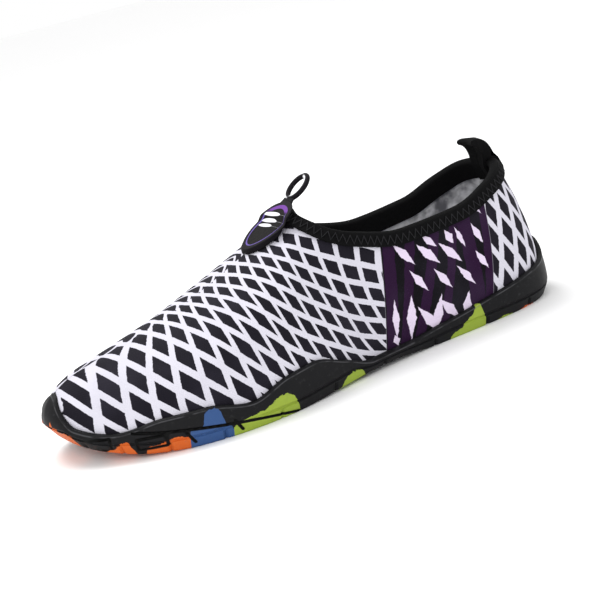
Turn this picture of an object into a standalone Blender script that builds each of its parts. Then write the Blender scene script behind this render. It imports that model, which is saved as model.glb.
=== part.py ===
# Water shoe for the left foot: +X points to the toe, +Y to the outer side of the foot, +Z up.
# Lengths are in metres. A share is a fraction of a named size.

import math

import bmesh
import bpy
import numpy as np

# Main sizes
SOLE_LENGTH = 0.272
BALL_WIDTH = 0.099
THROAT_HEIGHT = 0.080
HEEL_HEIGHT = 0.072
UPPER_WALL = 0.0020
GAP = 0.0003

# Sole sizes
SOLE_THICKNESS = 0.0046
SIDE_HEIGHT = 0.0180
SIDE_WALL = 0.0036
LIP_WALL = 0.0016
SIDE_GAP = 0.0005
TREAD_EDGE = 0.0048
TREAD_BORDER = 0.0050
TREAD_DEPTH = 0.0020
GROOVE_DEPTH = 0.0007
NOTCH_WIDTH = 0.0024
NOTCH_DEPTH = 0.0014
LUG_GAP = 0.0014
LUG_LANES = 4
FLOOR_LANES = 3
TREAD_WAVE = 0.0022
WAVE_RUNG = 0.0500
WIDEST_GROOVE = 0.3

# Insole, collar binding and pull tabs
INSOLE_THICKNESS = 0.0030
INSOLE_GAP = 0.0005
BINDING_WALL = 0.0011
BINDING_DEPTH = 0.0060
BINDING_INNER_DEPTH = 0.0090
BINDING_GAP = 0.0006
TAB_LENGTH = 0.0330
TAB_WIDTH = 0.0265
TAB_WALL = 0.0026
TAB_OVERHANG = 0.0015
RING_LENGTH = 0.0165
RING_WIDTH = 0.0150
RING_BAND = 0.0030
RING_THICKNESS = 0.0026
RING_TILT = math.radians(7)
RING_NECK = 0.0010
NECK_WIDTH = 0.0090
NECK_FLARE = 0.0050
NECK_ROOT = 0.0035
NECK_THICKNESS = 0.0022
TAB_STEP = 0.0040
TAB_CLEAR = 0.0010
HEEL_TAB_WIDTH = 0.0130
HEEL_TAB_WALL = 0.0016
HEEL_TAB_LEG = 0.0090
HEEL_TAB_RISE = 0.0130
HEEL_TAB_REACH = 0.0107

# Where along the sole's edge the collar ends and the closed instep starts
THROAT = 0.60

# Layout of the mesh
ROWS_UP = (0, 0.12, 0.25, 0.38, 0.51, 0.64, 0.75, 0.85, 0.93, 1)
WELD = 0.00002


class Table:
    """Rows of named columns, read smoothly between the rows along the first column."""

    def __init__(self, names, *rows):
        self.names = names.split()
        self.rows = np.array(rows, float)

    def at(self, name, where):
        x, y = self.rows[:, 0], self.rows[:, self.names.index(name)]
        gap = np.diff(x)
        rise = np.diff(y) / gap
        slope = np.zeros_like(y)
        slope[0], slope[-1] = rise[0], rise[-1]
        for i in range(1, len(x) - 1):
            if rise[i - 1] * rise[i] > 0:
                before, after = 2 * gap[i] + gap[i - 1], gap[i] + 2 * gap[i - 1]
                slope[i] = (before + after) / (before / rise[i - 1] + after / rise[i])
        where = np.clip(np.asarray(where, float), x[0], x[-1])
        i = np.clip(np.searchsorted(x, where, side="right") - 1, 0, len(x) - 2)
        u = (where - x[i]) / gap[i]
        return ((1 + 2 * u) * (1 - u) ** 2 * y[i] + u * (1 - u) ** 2 * gap[i] * slope[i]
                + u * u * (3 - 2 * u) * y[i + 1] - u * u * (1 - u) * gap[i] * slope[i + 1])


# Plan of the sole's edge: along is a share of SOLE_LENGTH, across of BALL_WIDTH, outer side first
OUTLINE = [
    (0.000, 0.000), (0.010, 0.150), (0.045, 0.262), (0.110, 0.325), (0.200, 0.345),
    (0.330, 0.352), (0.460, 0.400), (0.580, 0.470), (0.670, 0.498), (0.760, 0.475),
    (0.850, 0.390), (0.920, 0.270), (0.970, 0.130), (0.993, 0.010),
    (1.000, -0.110),
    (0.992, -0.235), (0.962, -0.350), (0.900, -0.442), (0.820, -0.492), (0.730, -0.500),
    (0.630, -0.450), (0.520, -0.345), (0.420, -0.290), (0.300, -0.290), (0.190, -0.325),
    (0.100, -0.322), (0.040, -0.260), (0.008, -0.150),
]
TIP_ROW = 14

# Height of the sole's underside above the floor, by share of the length
UNDERSIDE = Table(
    "along height",
    (0.00, 0.0030),
    (0.04, 0.0006),
    (0.10, 0.0),
    (0.30, 0.0),
    (0.42, 0.0022),
    (0.55, 0.0012),
    (0.64, 0.0),
    (0.80, 0.0),
    (0.88, 0.0014),
    (0.95, 0.0060),
    (1.00, 0.0130),
)

# Top of the sole's side wall above the floor in shares of SIDE_HEIGHT, and how far the tread
# edge below is drawn in, by share of the way from the heel's back to the toe's tip
SIDE = Table(
    "share top tuck",
    (0.00, 1.65, 0.0036),
    (0.03, 1.52, 0.0034),
    (0.07, 1.14, 0.0030),
    (0.14, 0.92, 0.0024),
    (0.22, 0.72, 0.0020),
    (0.30, 0.53, 0.0016),
    (0.38, 0.41, 0.0014),
    (0.45, 0.41, 0.0014),
    (0.50, 0.72, 0.0016),
    (0.56, 1.06, 0.0018),
    (0.61, 1.00, 0.0018),
    (0.67, 0.70, 0.0018),
    (0.74, 0.92, 0.0018),
    (0.80, 0.92, 0.0020),
    (0.87, 0.76, 0.0028),
    (0.94, 1.00, 0.0048),
    (0.965, 1.40, 0.0060),
    (0.985, 1.72, 0.0068),
    (1.00, 1.82, 0.0070),
)

# Sections of the last, from the sole's edge up to its centre line. centre_x is a share of
# SOLE_LENGTH and centre_z of THROAT_HEIGHT. lean tips the foot of a section outwards, in
# degrees. low and high say how far each end of the curve runs straight on.
SECTIONS = Table(
    "share centre_x centre_z lean low high",
    (0.00, 0.275, 1.70, 14, 0.30, 0.20),
    (0.10, 0.280, 1.69, 10, 0.30, 0.18),
    (0.20, 0.290, 1.66, 6, 0.30, 0.16),
    (0.36, 0.340, 1.50, 4, 0.30, 0.17),
    (0.48, 0.403, 1.21, 6, 0.34, 0.33),
    (0.55, 0.443, 1.075, 7, 0.39, 0.40),
    (0.60, 0.478, 1.00, 8, 0.42, 0.44),
    (0.70, 0.600, 0.805, 8, 0.42, 0.44),
    (0.79, 0.718, 0.655, 8, 0.42, 0.40),
    (0.88, 0.820, 0.560, 9, 0.42, 0.40),
    (0.95, 0.887, 0.510, 12, 0.42, 0.44),
    (1.00, 0.918, 0.485, 16, 0.44, 0.50),
)

# Drift of the last's centre line towards the big toe, in shares of BALL_WIDTH
DRIFT = Table("along across", (0.0, 0.0), (0.3, -0.01), (0.6, -0.025), (0.8, -0.06), (1.0, -0.11))

# Height of the collar's edge, in shares of HEEL_HEIGHT
COLLAR = Table(
    "share height",
    (0.00, 1.000),
    (0.06, 0.985),
    (0.13, 0.915),
    (0.22, 0.825),
    (0.33, 0.810),
    (0.43, 0.900),
    (0.52, 1.020),
    (0.60, THROAT_HEIGHT / HEEL_HEIGHT),
)

# Side view of the heel tab's free end: forward is a share of HEEL_TAB_REACH, rise of HEEL_TAB_RISE
HEEL_TAB_CURL = [
    (-0.16, 0.28), (-0.02, 0.58), (0.20, 0.84), (0.46, 0.97), (0.74, 1.01), (0.95, 0.98),
    (1.00, 0.90), (0.94, 0.81), (0.76, 0.73), (0.60, 0.58), (0.50, 0.36),
]

# Lugs of the tread: each row runs from one notch to the next, at these shares of the way to the tip
NOTCHES = (0.05, 0.14, 0.23, 0.33, 0.43, 0.53, 0.63, 0.72, 0.80, 0.87, 0.93)


# Plan of the sole

def closed_curve(points, steps=24):
    """Centripetal Catmull-Rom curve through a closed row of points."""
    points = np.array(points, float)
    curve = []
    for i in range(len(points)):
        a, b, c, d = (points[(i + k) % len(points)] for k in (-1, 0, 1, 2))
        t0 = 0.0
        t1 = t0 + math.sqrt(math.dist(a, b))
        t2 = t1 + math.sqrt(math.dist(b, c))
        t3 = t2 + math.sqrt(math.dist(c, d))
        for t in np.linspace(t1, t2, steps, endpoint=False):
            ab = a + (b - a) * (t - t0) / (t1 - t0)
            bc = b + (c - b) * (t - t1) / (t2 - t1)
            cd = c + (d - c) * (t - t2) / (t3 - t2)
            abc = ab + (bc - ab) * (t - t0) / (t2 - t0)
            bcd = bc + (cd - bc) * (t - t1) / (t3 - t1)
            curve.append(abc + (bcd - abc) * (t - t1) / (t2 - t1))
    return np.array(curve)


def half_outline(points, side):
    """Shares, points and outward normals of one side's edge, from the heel's back to the tip."""
    step = np.gradient(points, axis=0)
    step /= np.linalg.norm(step, axis=1)[:, None]
    normals = np.stack([-step[:, 1], step[:, 0]], axis=1) * side
    normals[0], normals[-1] = (-1, 0), (1, 0)
    run = np.r_[0, np.cumsum(np.linalg.norm(np.diff(points, axis=0), axis=1))]
    return run / run[-1], points, normals


def both_sides():
    steps = 24
    plan = closed_curve([(x * SOLE_LENGTH, y * BALL_WIDTH) for x, y in OUTLINE], steps)
    tip = TIP_ROW * steps
    outer = plan[:tip + 1]
    inner = np.vstack([plan[tip:], plan[:1]])[::-1]
    return {1: half_outline(outer, 1), -1: half_outline(inner, -1)}


EDGES = both_sides()


def edge(side, share, inset=0.0):
    """Plan points on the sole's edge, moved in by inset, and the outward normals there."""
    found = []
    for key in (1, -1):
        run, points, normals = EDGES[key]
        found.append(np.stack([np.interp(share, run, column) for column in (*points.T, *normals.T)], -1))
    both = np.where(np.asarray(side)[..., None] > 0, *found)
    point, normal = both[..., :2], both[..., 2:]
    normal = normal / np.linalg.norm(normal, axis=-1, keepdims=True)
    return point - normal * np.asarray(inset)[..., None], normal


def underside(x):
    return UNDERSIDE.at("height", np.asarray(x) / SOLE_LENGTH)


def floor_height(x):
    """Height of the sole's inner floor."""
    return underside(x) + SOLE_THICKNESS


# Surface of the last

BASE_INSET = SIDE_WALL + SIDE_GAP


def centre(share):
    """Points on the centre line over the foot, and its slope."""
    def point(at):
        x = SECTIONS.at("centre_x", at) * SOLE_LENGTH
        y = DRIFT.at("across", x / SOLE_LENGTH) * BALL_WIDTH
        return np.stack([x, y, SECTIONS.at("centre_z", at) * THROAT_HEIGHT], -1)
    step = 0.002
    ahead = point(np.minimum(share + step, 1)) - point(np.maximum(share - step, 0))
    return point(share), ahead[..., 2] / ahead[..., 0]


def surface(side, share, up):
    """Outer face of the upper: up runs from 0 on the sole to 1 on the centre line."""
    side, share, up = np.broadcast_arrays(np.asarray(side, float), share, up)
    side = np.where((share < 0) | (share > 1), -side, side)
    share = np.where(share > 1, 2 - share, np.abs(share))
    plan, normal = edge(side, share, BASE_INSET)
    foot = np.concatenate([plan, (floor_height(plan[..., 0]) + GAP)[..., None]], -1)
    top, slope = centre(share)
    size = np.linalg.norm(top - foot, axis=-1)
    lean = np.radians(SECTIONS.at("lean", share))
    rise = np.stack([normal[..., 0] * np.sin(lean), normal[..., 1] * np.sin(lean), np.cos(lean)], -1)
    out = foot[..., :2] - top[..., :2]
    out = out / np.linalg.norm(out, axis=-1, keepdims=True)
    down = np.stack([out[..., 0], out[..., 1], slope * out[..., 0]], -1)
    low = foot + rise * (SECTIONS.at("low", share) * size)[..., None]
    high = top + down * (SECTIONS.at("high", share) * size)[..., None]
    u = up[..., None]
    return (1 - u) ** 3 * foot + 3 * (1 - u) ** 2 * u * low + 3 * (1 - u) * u * u * high + u ** 3 * top


def facing(side, share, up):
    """Outward normals of the surface."""
    step = 0.001
    along = surface(side, share + step, up) - surface(side, share - step, up)
    rise = surface(side, share, np.minimum(up + step, 1)) - surface(side, share, np.maximum(up - step, 0))
    normal = np.cross(rise, along) * np.asarray(side, float)[..., None]
    return normal / np.linalg.norm(normal, axis=-1, keepdims=True)


def skin(side, share, up, out):
    """Points a distance out from the surface."""
    return surface(side, share, up) + facing(side, share, up) * np.asarray(out)[..., None]


def up_where(side, share, wanted, measure):
    """For each share, the up value at which a growing measure of its section has the wanted value."""
    up = np.linspace(0, 1, 241)
    side, share, wanted = np.broadcast_arrays(side, share, wanted)
    sections = surface(side[..., None], share[..., None], up)
    grown = measure(sections)
    flat = [np.interp(w, g, up) for w, g in zip(wanted.ravel(), grown.reshape(-1, len(up)))]
    return np.array(flat).reshape(wanted.shape)


def heights(sections):
    return np.maximum.accumulate(sections[..., 2], axis=-1)


def lengths(sections):
    steps = np.linalg.norm(np.diff(sections, axis=-2), axis=-1)
    return np.concatenate([np.zeros(steps.shape[:-1] + (1,)), np.cumsum(steps, axis=-1)], -1)


def up_at_height(side, share, height):
    return up_where(side, share, height, heights)


def collar_up(side, share):
    """How far up each section the collar cuts it: 1 where the upper is closed over the foot."""
    cut = up_at_height(side, share, COLLAR.at("height", share) * HEEL_HEIGHT)
    return np.where(np.asarray(share) < THROAT - 1e-9, cut, 1.0)


def spread_up(side, share, shares_up):
    """Up values that share out each section's length between the sole and the collar."""
    top = collar_up(side, share)
    run = lengths(surface(side[:, None], share[:, None], np.linspace(0, 1, 241)))
    rows = []
    for i in range(len(share)):
        full = np.interp(top[i], np.linspace(0, 1, 241), run[i])
        rows.append(np.interp(np.array(shares_up) * full, run[i], np.linspace(0, 1, 241)))
    return np.array(rows)


# Stations around the foot

def stations():
    """Shares along one side: close at heel, throat and toe."""
    heel = np.linspace(0, 0.18, 9)[:-1]
    waist = np.linspace(0.18, THROAT - 0.08, 10)[:-1]
    throat = THROAT - 0.08 * np.linspace(1, 0, 9) ** 2
    ball = np.linspace(THROAT, 0.84, 8)[1:-1]
    toe = np.linspace(0.84, 1, 10)
    return np.concatenate([heel, waist, throat, ball, toe])


SHARES = stations()


def loop_of(shares):
    """Sides and shares once around the foot: outer side to the toe, inner side back to the heel."""
    side = np.r_[np.ones(len(shares)), -np.ones(len(shares) - 2)]
    return side, np.r_[shares, shares[-2:0:-1]]


def add_grid(bm, points, closed=True):
    """Faces between rows of points, each row one loop or one open line."""
    grid = [[bm.verts.new(point) for point in row] for row in points]
    for lower, upper in zip(grid, grid[1:]):
        count = len(lower)
        for i in range(count if closed else count - 1):
            j = (i + 1) % count
            bm.faces.new((lower[i], lower[j], upper[j], upper[i]))
    return grid


def finish(bm, name, colour, roughness):
    """Weld the shape, turn its faces out and make it an object with its own material."""
    bmesh.ops.remove_doubles(bm, verts=bm.verts, dist=WELD)
    bmesh.ops.dissolve_degenerate(bm, edges=bm.edges, dist=WELD / 10)
    bmesh.ops.recalc_face_normals(bm, faces=bm.faces)
    bmesh.ops.translate(bm, verts=bm.verts, vec=ORIGIN_SHIFT)
    mesh = bpy.data.meshes.new(name)
    bm.to_mesh(mesh)
    bm.free()
    mesh.shade_smooth()
    mesh.set_sharp_from_angle(angle=math.radians(35))
    material = bpy.data.materials.new(name)
    material.use_nodes = True
    shader = material.node_tree.nodes["Principled BSDF"]
    shader.inputs["Base Color"].default_value = (*colour, 1)
    shader.inputs["Roughness"].default_value = roughness
    shader.inputs["Metallic"].default_value = 0.0
    mesh.materials.append(material)
    shape = bpy.data.objects.new(name, mesh)
    bpy.context.scene.collection.objects.link(shape)
    return shape


# Upper

def make_upper():
    """One knitted shell, open at the collar and underneath."""
    side, share = loop_of(SHARES)
    up = spread_up(side, share, ROWS_UP)
    grids = [skin(side[:, None], share[:, None], up, out) for out in (0.0, -UPPER_WALL)]
    bm = bmesh.new()
    outer, inner = (add_grid(bm, grid.transpose(1, 0, 2)) for grid in grids)
    count = len(share)
    open_here = share < THROAT + 1e-9
    for i in range(count):
        j = (i + 1) % count
        bm.faces.new((outer[0][i], inner[0][i], inner[0][j], outer[0][j]))
        if open_here[i] and open_here[j]:
            bm.faces.new((outer[-1][i], outer[-1][j], inner[-1][j], inner[-1][i]))
    return finish(bm, "upper", (0.55, 0.54, 0.60), 0.85)


# Sole

def side_top(share):
    return SIDE.at("top", share) * SIDE_HEIGHT


def side_row(side, share, height, out):
    """Points at a height beside the upper, a distance out from it."""
    point = skin(side, share, up_at_height(side, share, height), out)
    point[:, 2] = height
    return point


def tread_row(side, share, inset, height):
    """Points at a height above the underside, moved in from the sole's edge."""
    plan, _ = edge(side, share, inset)
    return np.column_stack([plan, underside(plan[:, 0]) + height])


def sole_shares():
    """Stations of the sole, those at the notches, and half a notch's width as a share."""
    own = np.concatenate([SHARES[SHARES < THROAT - 0.07], [THROAT - 0.03], SHARES[SHARES >= THROAT]])
    notches = np.array([own[np.abs(own - wanted).argmin()] for wanted in NOTCHES])
    half = 0.45 * NOTCH_WIDTH / SOLE_LENGTH
    return np.sort(np.concatenate([own, notches - half, notches + half])), notches, half


def add_ladder(bm, loop, lanes, height, gap=0.0):
    """Fill a loop with rungs from side to side. A gap splits each lane into a strip between grooves.

    Gives back the faces by station and strip.
    """
    half = len(loop) // 2
    rungs = []
    for k in range(half + 1):
        start, end = loop[k], loop[-k] if 0 < k < half else loop[k]
        length = (start.co - end.co).length
        if gap:
            edge_share = min(0.5 * gap * lanes / max(length, gap), WIDEST_GROOVE)
            stops = [(lane + part) / lanes for lane in range(lanes) for part in (edge_share, 1 - edge_share)]
            swings = [TREAD_WAVE * min(1.0, length / WAVE_RUNG) * math.cos(math.pi * lanes * t) for t in stops]
        else:
            stops = [lane / lanes for lane in range(1, lanes)]
            swings = [0.0] * len(stops)
        if start is end:
            rungs.append([start] * (len(stops) + 2))
            continue
        rung = [start]
        for stop, swing in zip(stops, swings):
            point = start.co.lerp(end.co, stop)
            point.x += swing
            point.z = height(point.x)
            rung.append(bm.verts.new(point))
        rungs.append(rung + [end])
    faces = {}
    for k in range(half):
        for i in range(len(rungs[k]) - 1):
            corners = [rungs[k][i], rungs[k + 1][i], rungs[k + 1][i + 1], rungs[k][i + 1]]
            faces[k, i] = bm.faces.new(list(dict.fromkeys(corners)))
    return faces


def raise_lugs(bm, faces, shares, notches, half_notch):
    """Bring the strips between two notches down to the ground as lugs."""
    lugs = []
    for (k, strip), face in faces.items():
        middle = (shares[k] + shares[k + 1]) / 2
        on_tread = notches[0] < middle < notches[-1]
        if strip % 2 and on_tread and np.abs(notches - middle).min() > half_notch:
            lugs.append(face)
    made = bmesh.ops.extrude_face_region(bm, geom=lugs)["geom"]
    for vertex in (item for item in made if isinstance(item, bmesh.types.BMVert)):
        vertex.co.z = underside(vertex.co.x)
    bmesh.ops.delete(bm, geom=lugs, context="FACES_KEEP_BOUNDARY")


def make_outsole():
    """Rubber sole: lugs, tread edge with notches, groove, side wall with its lip, inner floor."""
    shares, notches, half_notch = sole_shares()
    side, share = loop_of(shares)
    notched = np.abs(share[:, None] - notches).min(axis=1) < 1e-6
    cut = np.where(notched, NOTCH_DEPTH, 0.0)
    plan, _ = edge(side, share)
    bottom = underside(plan[:, 0])
    top = side_top(share)
    rise = np.minimum(TREAD_EDGE, 0.45 * (top - bottom))
    tuck = SIDE.at("tuck", share)
    floor = floor_height(surface(side, share, 0.0)[:, 0])
    border = tuck + TREAD_BORDER
    groove = np.minimum(GROOVE_DEPTH, 0.2 * rise)
    rows = [
        tread_row(side, share, border, TREAD_DEPTH),
        tread_row(side, share, border, 0.0),
        tread_row(side, share, tuck + cut, 0.0),
        tread_row(side, share, 0.4 * tuck + cut, 0.6 * rise),
        tread_row(side, share, 0.15 * tuck, rise),
        tread_row(side, share, groove + 0.1 * tuck, rise + groove),
    ]
    start = bottom + rise + 2 * groove
    for part in (0.0, 0.4, 0.85, 1.0):
        height = start + (top - start) * part
        grown = np.clip((height - floor) / (top - floor), 0, 1)
        wall = SIDE_WALL + (LIP_WALL - SIDE_WALL) * grown - 0.5 * LIP_WALL * (part == 1.0)
        rows.append(side_row(side, share, height, SIDE_GAP + wall))
    for part in (1.0, 0.85, 0.6, 0.3, 0.0):
        rows.append(side_row(side, share, floor + (top - floor) * part, np.full_like(share, SIDE_GAP)))
    bm = bmesh.new()
    grid = add_grid(bm, rows)
    add_ladder(bm, grid[-1], FLOOR_LANES, lambda x: float(floor_height(x)))
    faces = add_ladder(bm, grid[0], LUG_LANES, lambda x: float(underside(x)) + TREAD_DEPTH, LUG_GAP)
    raise_lugs(bm, faces, shares, notches, half_notch)
    return finish(bm, "outsole", (0.012, 0.012, 0.013), 0.6)


# Insole

def make_insole():
    """Loose footbed inside the foot of the upper."""
    side, share = loop_of(SHARES)
    plan, _ = edge(side, share, BASE_INSET + UPPER_WALL + GAP)
    low = floor_height(plan[:, 0]) + INSOLE_GAP
    bm = bmesh.new()
    grid = add_grid(bm, [np.column_stack([plan, low + rise]) for rise in (0.0, INSOLE_THICKNESS)])
    add_ladder(bm, grid[0], FLOOR_LANES, lambda x: float(floor_height(x)) + INSOLE_GAP)
    top = INSOLE_GAP + INSOLE_THICKNESS
    add_ladder(bm, grid[1], FLOOR_LANES, lambda x: float(floor_height(x)) + top)
    return finish(bm, "insole", (0.05, 0.05, 0.055), 0.9)


# Collar

def walk(side, share, up, heading, distance, steps):
    """Follow the surface from its points, each in its own heading, with a stop at every step."""
    stops = [(share, up)]
    reach = 0.001
    for _ in range(steps):
        low, high = np.maximum(up - reach, 0), np.minimum(up + reach, 1)
        along = (surface(side, share + reach, up) - surface(side, share - reach, up)) / (2 * reach)
        rise = (surface(side, share, high) - surface(side, share, low)) / (high - low)[:, None]
        normal = facing(side, share, up)
        heading = heading - normal * np.sum(heading * normal, axis=1, keepdims=True)
        heading = heading / np.linalg.norm(heading, axis=1, keepdims=True)
        aa, ab, bb = (np.sum(p * q, axis=1) for p, q in ((along, along), (along, rise), (rise, rise)))
        ah, bh = np.sum(along * heading, axis=1), np.sum(rise * heading, axis=1)
        scale = distance / steps / (aa * bb - ab * ab)
        higher = up + (bh * aa - ah * ab) * scale
        ahead = np.where(higher > 1, ah / aa * distance / steps, (ah * bb - bh * ab) * scale)
        share = share + ahead
        up = np.clip(higher, 0, 1)
        stops.append((share, up))
    return stops


def rim_frames(side, share, closed):
    """Points on the collar's edge, the way down the upper from it, and the outward normals."""
    up = collar_up(side, share)
    rim = surface(side, share, up)
    if closed:
        run = np.roll(rim, -1, axis=0) - np.roll(rim, 1, axis=0)
    else:
        run = np.gradient(rim, axis=0)
    normal = facing(side, share, up)
    down = np.cross(normal, run)
    return up, rim, down / np.linalg.norm(down, axis=1, keepdims=True), normal


def make_binding():
    """Tape folded over the collar's edge, with a leg outside and a leg inside."""
    shares = SHARES[SHARES < THROAT + 1e-9]
    side, share = loop_of(shares)
    up, rim, down, normal = rim_frames(side, share, True)
    steps = 6
    stops = walk(side, share, up, down, BINDING_INNER_DEPTH, steps)
    outer = BINDING_GAP + BINDING_WALL
    inner = -UPPER_WALL - BINDING_GAP
    outer_steps = round(steps * BINDING_DEPTH / BINDING_INNER_DEPTH)

    def leg(order, out):
        return [skin(side, *stops[i], np.full(len(share), out)) for i in order]

    def over(out, lift):
        return [rim + normal * out - down * lift]

    rows = leg((outer_steps, outer_steps // 2), outer) + over(outer, 0.0)
    rows += over(0.5 * outer, 0.8 * outer) + over(0.5 * (inner - BINDING_GAP), outer)
    rows += over(inner - 0.5 * BINDING_WALL, 0.7 * outer) + over(inner - BINDING_WALL, 0.0)
    rows += leg((steps // 2, steps), inner - BINDING_WALL)
    rows += leg((steps, steps // 2), inner) + over(inner, BINDING_GAP) + over(BINDING_GAP, BINDING_GAP)
    rows += leg((outer_steps // 2, outer_steps), BINDING_GAP)
    bm = bmesh.new()
    add_grid(bm, rows + rows[:1])
    return finish(bm, "collar_binding", (0.010, 0.010, 0.011), 0.85)


def make_heel_tab():
    """Folded tape that straddles the binding at the heel and curls forward above it."""
    half = 0.5 * HEEL_TAB_WIDTH
    fine = np.linspace(-0.08, 0.08, 81)
    side = np.ones_like(fine)
    rim = surface(side, fine, collar_up(side, np.abs(fine)))
    run = lengths(rim)
    middle = run[len(fine) // 2]
    share = np.interp(middle + half * np.linspace(-1, 1, 7), run, fine)
    side = np.ones_like(share)
    up = up_at_height(side, share, COLLAR.at("height", np.abs(share)) * HEEL_HEIGHT)
    rim = surface(side, share, up)
    normal = facing(side, share, up)
    down = np.cross(normal, np.gradient(rim, axis=0))
    down /= np.linalg.norm(down, axis=1, keepdims=True)
    steps = 4
    stops = walk(side, share, up, down, HEEL_TAB_LEG, steps)
    near = BINDING_GAP + BINDING_WALL + GAP
    far = -UPPER_WALL - BINDING_GAP - BINDING_WALL - GAP

    def leg(order, out):
        return [skin(side, *stops[i], np.full(len(share), out)) for i in order]

    def free(forward, rise):
        return [rim + np.array((forward * HEEL_TAB_REACH, 0, rise * HEEL_TAB_RISE))]

    rows = leg((4, 2, 0), near + HEEL_TAB_WALL)
    for forward, rise in HEEL_TAB_CURL:
        rows += free(forward, rise)
    rows += leg((0, 2, 4), far - HEEL_TAB_WALL) + leg((4, 2, 0), far)
    rows += [rim + normal * far - down * near, rim + normal * near - down * near]
    rows += leg((0, 2, 4), near)
    bm = bmesh.new()
    grid = add_grid(bm, rows + rows[:1], closed=False)
    for end in (0, -1):
        bm.faces.new([row[end] for row in grid[:-1]])
    return finish(bm, "heel_tab", (0.012, 0.012, 0.013), 0.8)


# Throat tab

def instep(u, v, out):
    """Points on the instep: u from the throat along the centre line, v across it, out from the skin."""
    fine = np.linspace(THROAT, 1, 161)
    line, slope = centre(fine)
    run = lengths(line)
    share = np.interp(np.maximum(u, 0), run, fine)
    side = np.where(v >= 0, 1.0, -1.0)
    grid = np.linspace(0, 1, 241)
    sections = lengths(surface(side[:, None], share[:, None], grid))
    up = np.array([np.interp(s[-1] - abs(w), s, grid) for s, w in zip(sections, v)])
    ahead = np.array((1.0, 0.0, slope[0]))
    return skin(side, share, up, out) + np.outer(np.minimum(u, 0), ahead / np.linalg.norm(ahead))


def make_throat_tab():
    """Moulded rubber pull: a rounded plate on the instep with a finger ring above the throat."""
    turns = np.linspace(0, 2 * math.pi, 26, endpoint=False)
    middle = 0.5 * TAB_LENGTH - TAB_OVERHANG
    cover = BINDING_DEPTH + TAB_CLEAR

    def plate_row(part, lift, bevel=0.0):
        u = middle + (0.5 * TAB_LENGTH - bevel) * part * np.cos(turns)
        v = (0.5 * TAB_WIDTH - bevel) * part * np.sin(turns) * (0.93 - 0.26 * np.cos(turns))
        step = np.clip((u - cover) / TAB_STEP, 0, 1)
        seat = GAP + (BINDING_WALL + BINDING_GAP) * (1 - step * step * (3 - 2 * step))
        return instep(u, v, seat + lift)

    bevel = 0.25 * TAB_WALL
    rows = [plate_row(part, 0.0) for part in (0.0, 0.5, 0.8, 1.0)]
    rows += [plate_row(1.0, TAB_WALL - bevel), plate_row(1.0, TAB_WALL, bevel)]
    rows += [plate_row(part, TAB_WALL) for part in (0.75, 0.4, 0.0)]
    bm = bmesh.new()
    add_grid(bm, rows)
    plate = finish(bm, "throat_tab", (0.035, 0.034, 0.037), 0.45)
    for joined in make_ring(turns):
        joined.hide_render = True
        joined.display_type = "WIRE"
        join = plate.modifiers.new("Join " + joined.name, "BOOLEAN")
        join.operation = "UNION"
        join.solver = "EXACT"
        join.object = joined
    return plate


def make_ring(turns):
    """Oval ring on a short neck, tilted up from the instep."""
    _, slope = centre(np.array([THROAT]))
    angle = math.atan(-slope[0]) + RING_TILT
    back = np.array((-math.cos(angle), 0.0, math.sin(angle)))
    normal = np.array((math.sin(angle), 0.0, math.cos(angle)))
    seat = GAP + BINDING_GAP + BINDING_WALL + 0.5 * TAB_WALL
    start = instep(np.array([-TAB_OVERHANG]), np.array([0.0]), np.array([seat]))[0]
    middle = start + back * (RING_NECK + 0.5 * RING_LENGTH)
    half_length, half_width = 0.5 * (RING_LENGTH - RING_BAND), 0.5 * (RING_WIDTH - RING_BAND)
    rows = []
    for corner in np.linspace(0, 2 * math.pi, 6, endpoint=False):
        out, lift = 0.5 * RING_BAND * math.cos(corner), 0.5 * RING_THICKNESS * math.sin(corner)
        along = (half_length + out) * np.cos(turns)
        across = (half_width + out) * np.sin(turns)
        rows.append(middle + np.outer(along, back) + np.outer(across, (0, 1, 0)) + lift * normal)
    ring = bmesh.new()
    add_grid(ring, rows + rows[:1])
    neck = bmesh.new()
    rows = []
    round_bar = np.linspace(0, 2 * math.pi, 10, endpoint=False)
    for along, flare in ((-NECK_ROOT, 1.0), (-0.3 * NECK_ROOT, 0.55), (0.3 * NECK_ROOT, 0.15),
                         (RING_NECK + 0.5 * RING_BAND, 0.0)):
        across = 0.5 * (NECK_WIDTH + NECK_FLARE * flare) * np.cos(round_bar)
        lift = 0.5 * NECK_THICKNESS * np.sin(round_bar)
        rows.append(start + back * along + np.outer(across, (0, 1, 0)) + np.outer(lift, normal))
    grid = add_grid(neck, rows)
    neck.faces.new(grid[0])
    neck.faces.new(grid[-1])
    look = ((0.035, 0.034, 0.037), 0.45)
    return finish(ring, "throat_ring", *look), finish(neck, "throat_neck", *look)


def origin_shift():
    """Moves the middle of the sole to the origin."""
    share = np.linspace(0, 1, 101)
    low, high = [], []
    for side in (1.0, -1.0):
        sides = np.full_like(share, side)
        wall = side_row(sides, share, 0.5 * side_top(share), SIDE_GAP + 0.5 * (SIDE_WALL + LIP_WALL))
        plan = np.vstack([edge(sides, share)[0], wall[:, :2]])
        low.append(plan.min(axis=0))
        high.append(plan.max(axis=0))
    middle = (np.min(low, axis=0) + np.max(high, axis=0)) / 2
    return (-middle[0], -middle[1], 0.0)


for old in list(bpy.data.objects):
    bpy.data.objects.remove(old)
ORIGIN_SHIFT = origin_shift()
make_outsole()
make_insole()
make_upper()
make_binding()
make_throat_tab()
make_heel_tab()
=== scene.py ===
import math

import bmesh
import bpy
import numpy as np
from mathutils import Matrix, Vector


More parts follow.
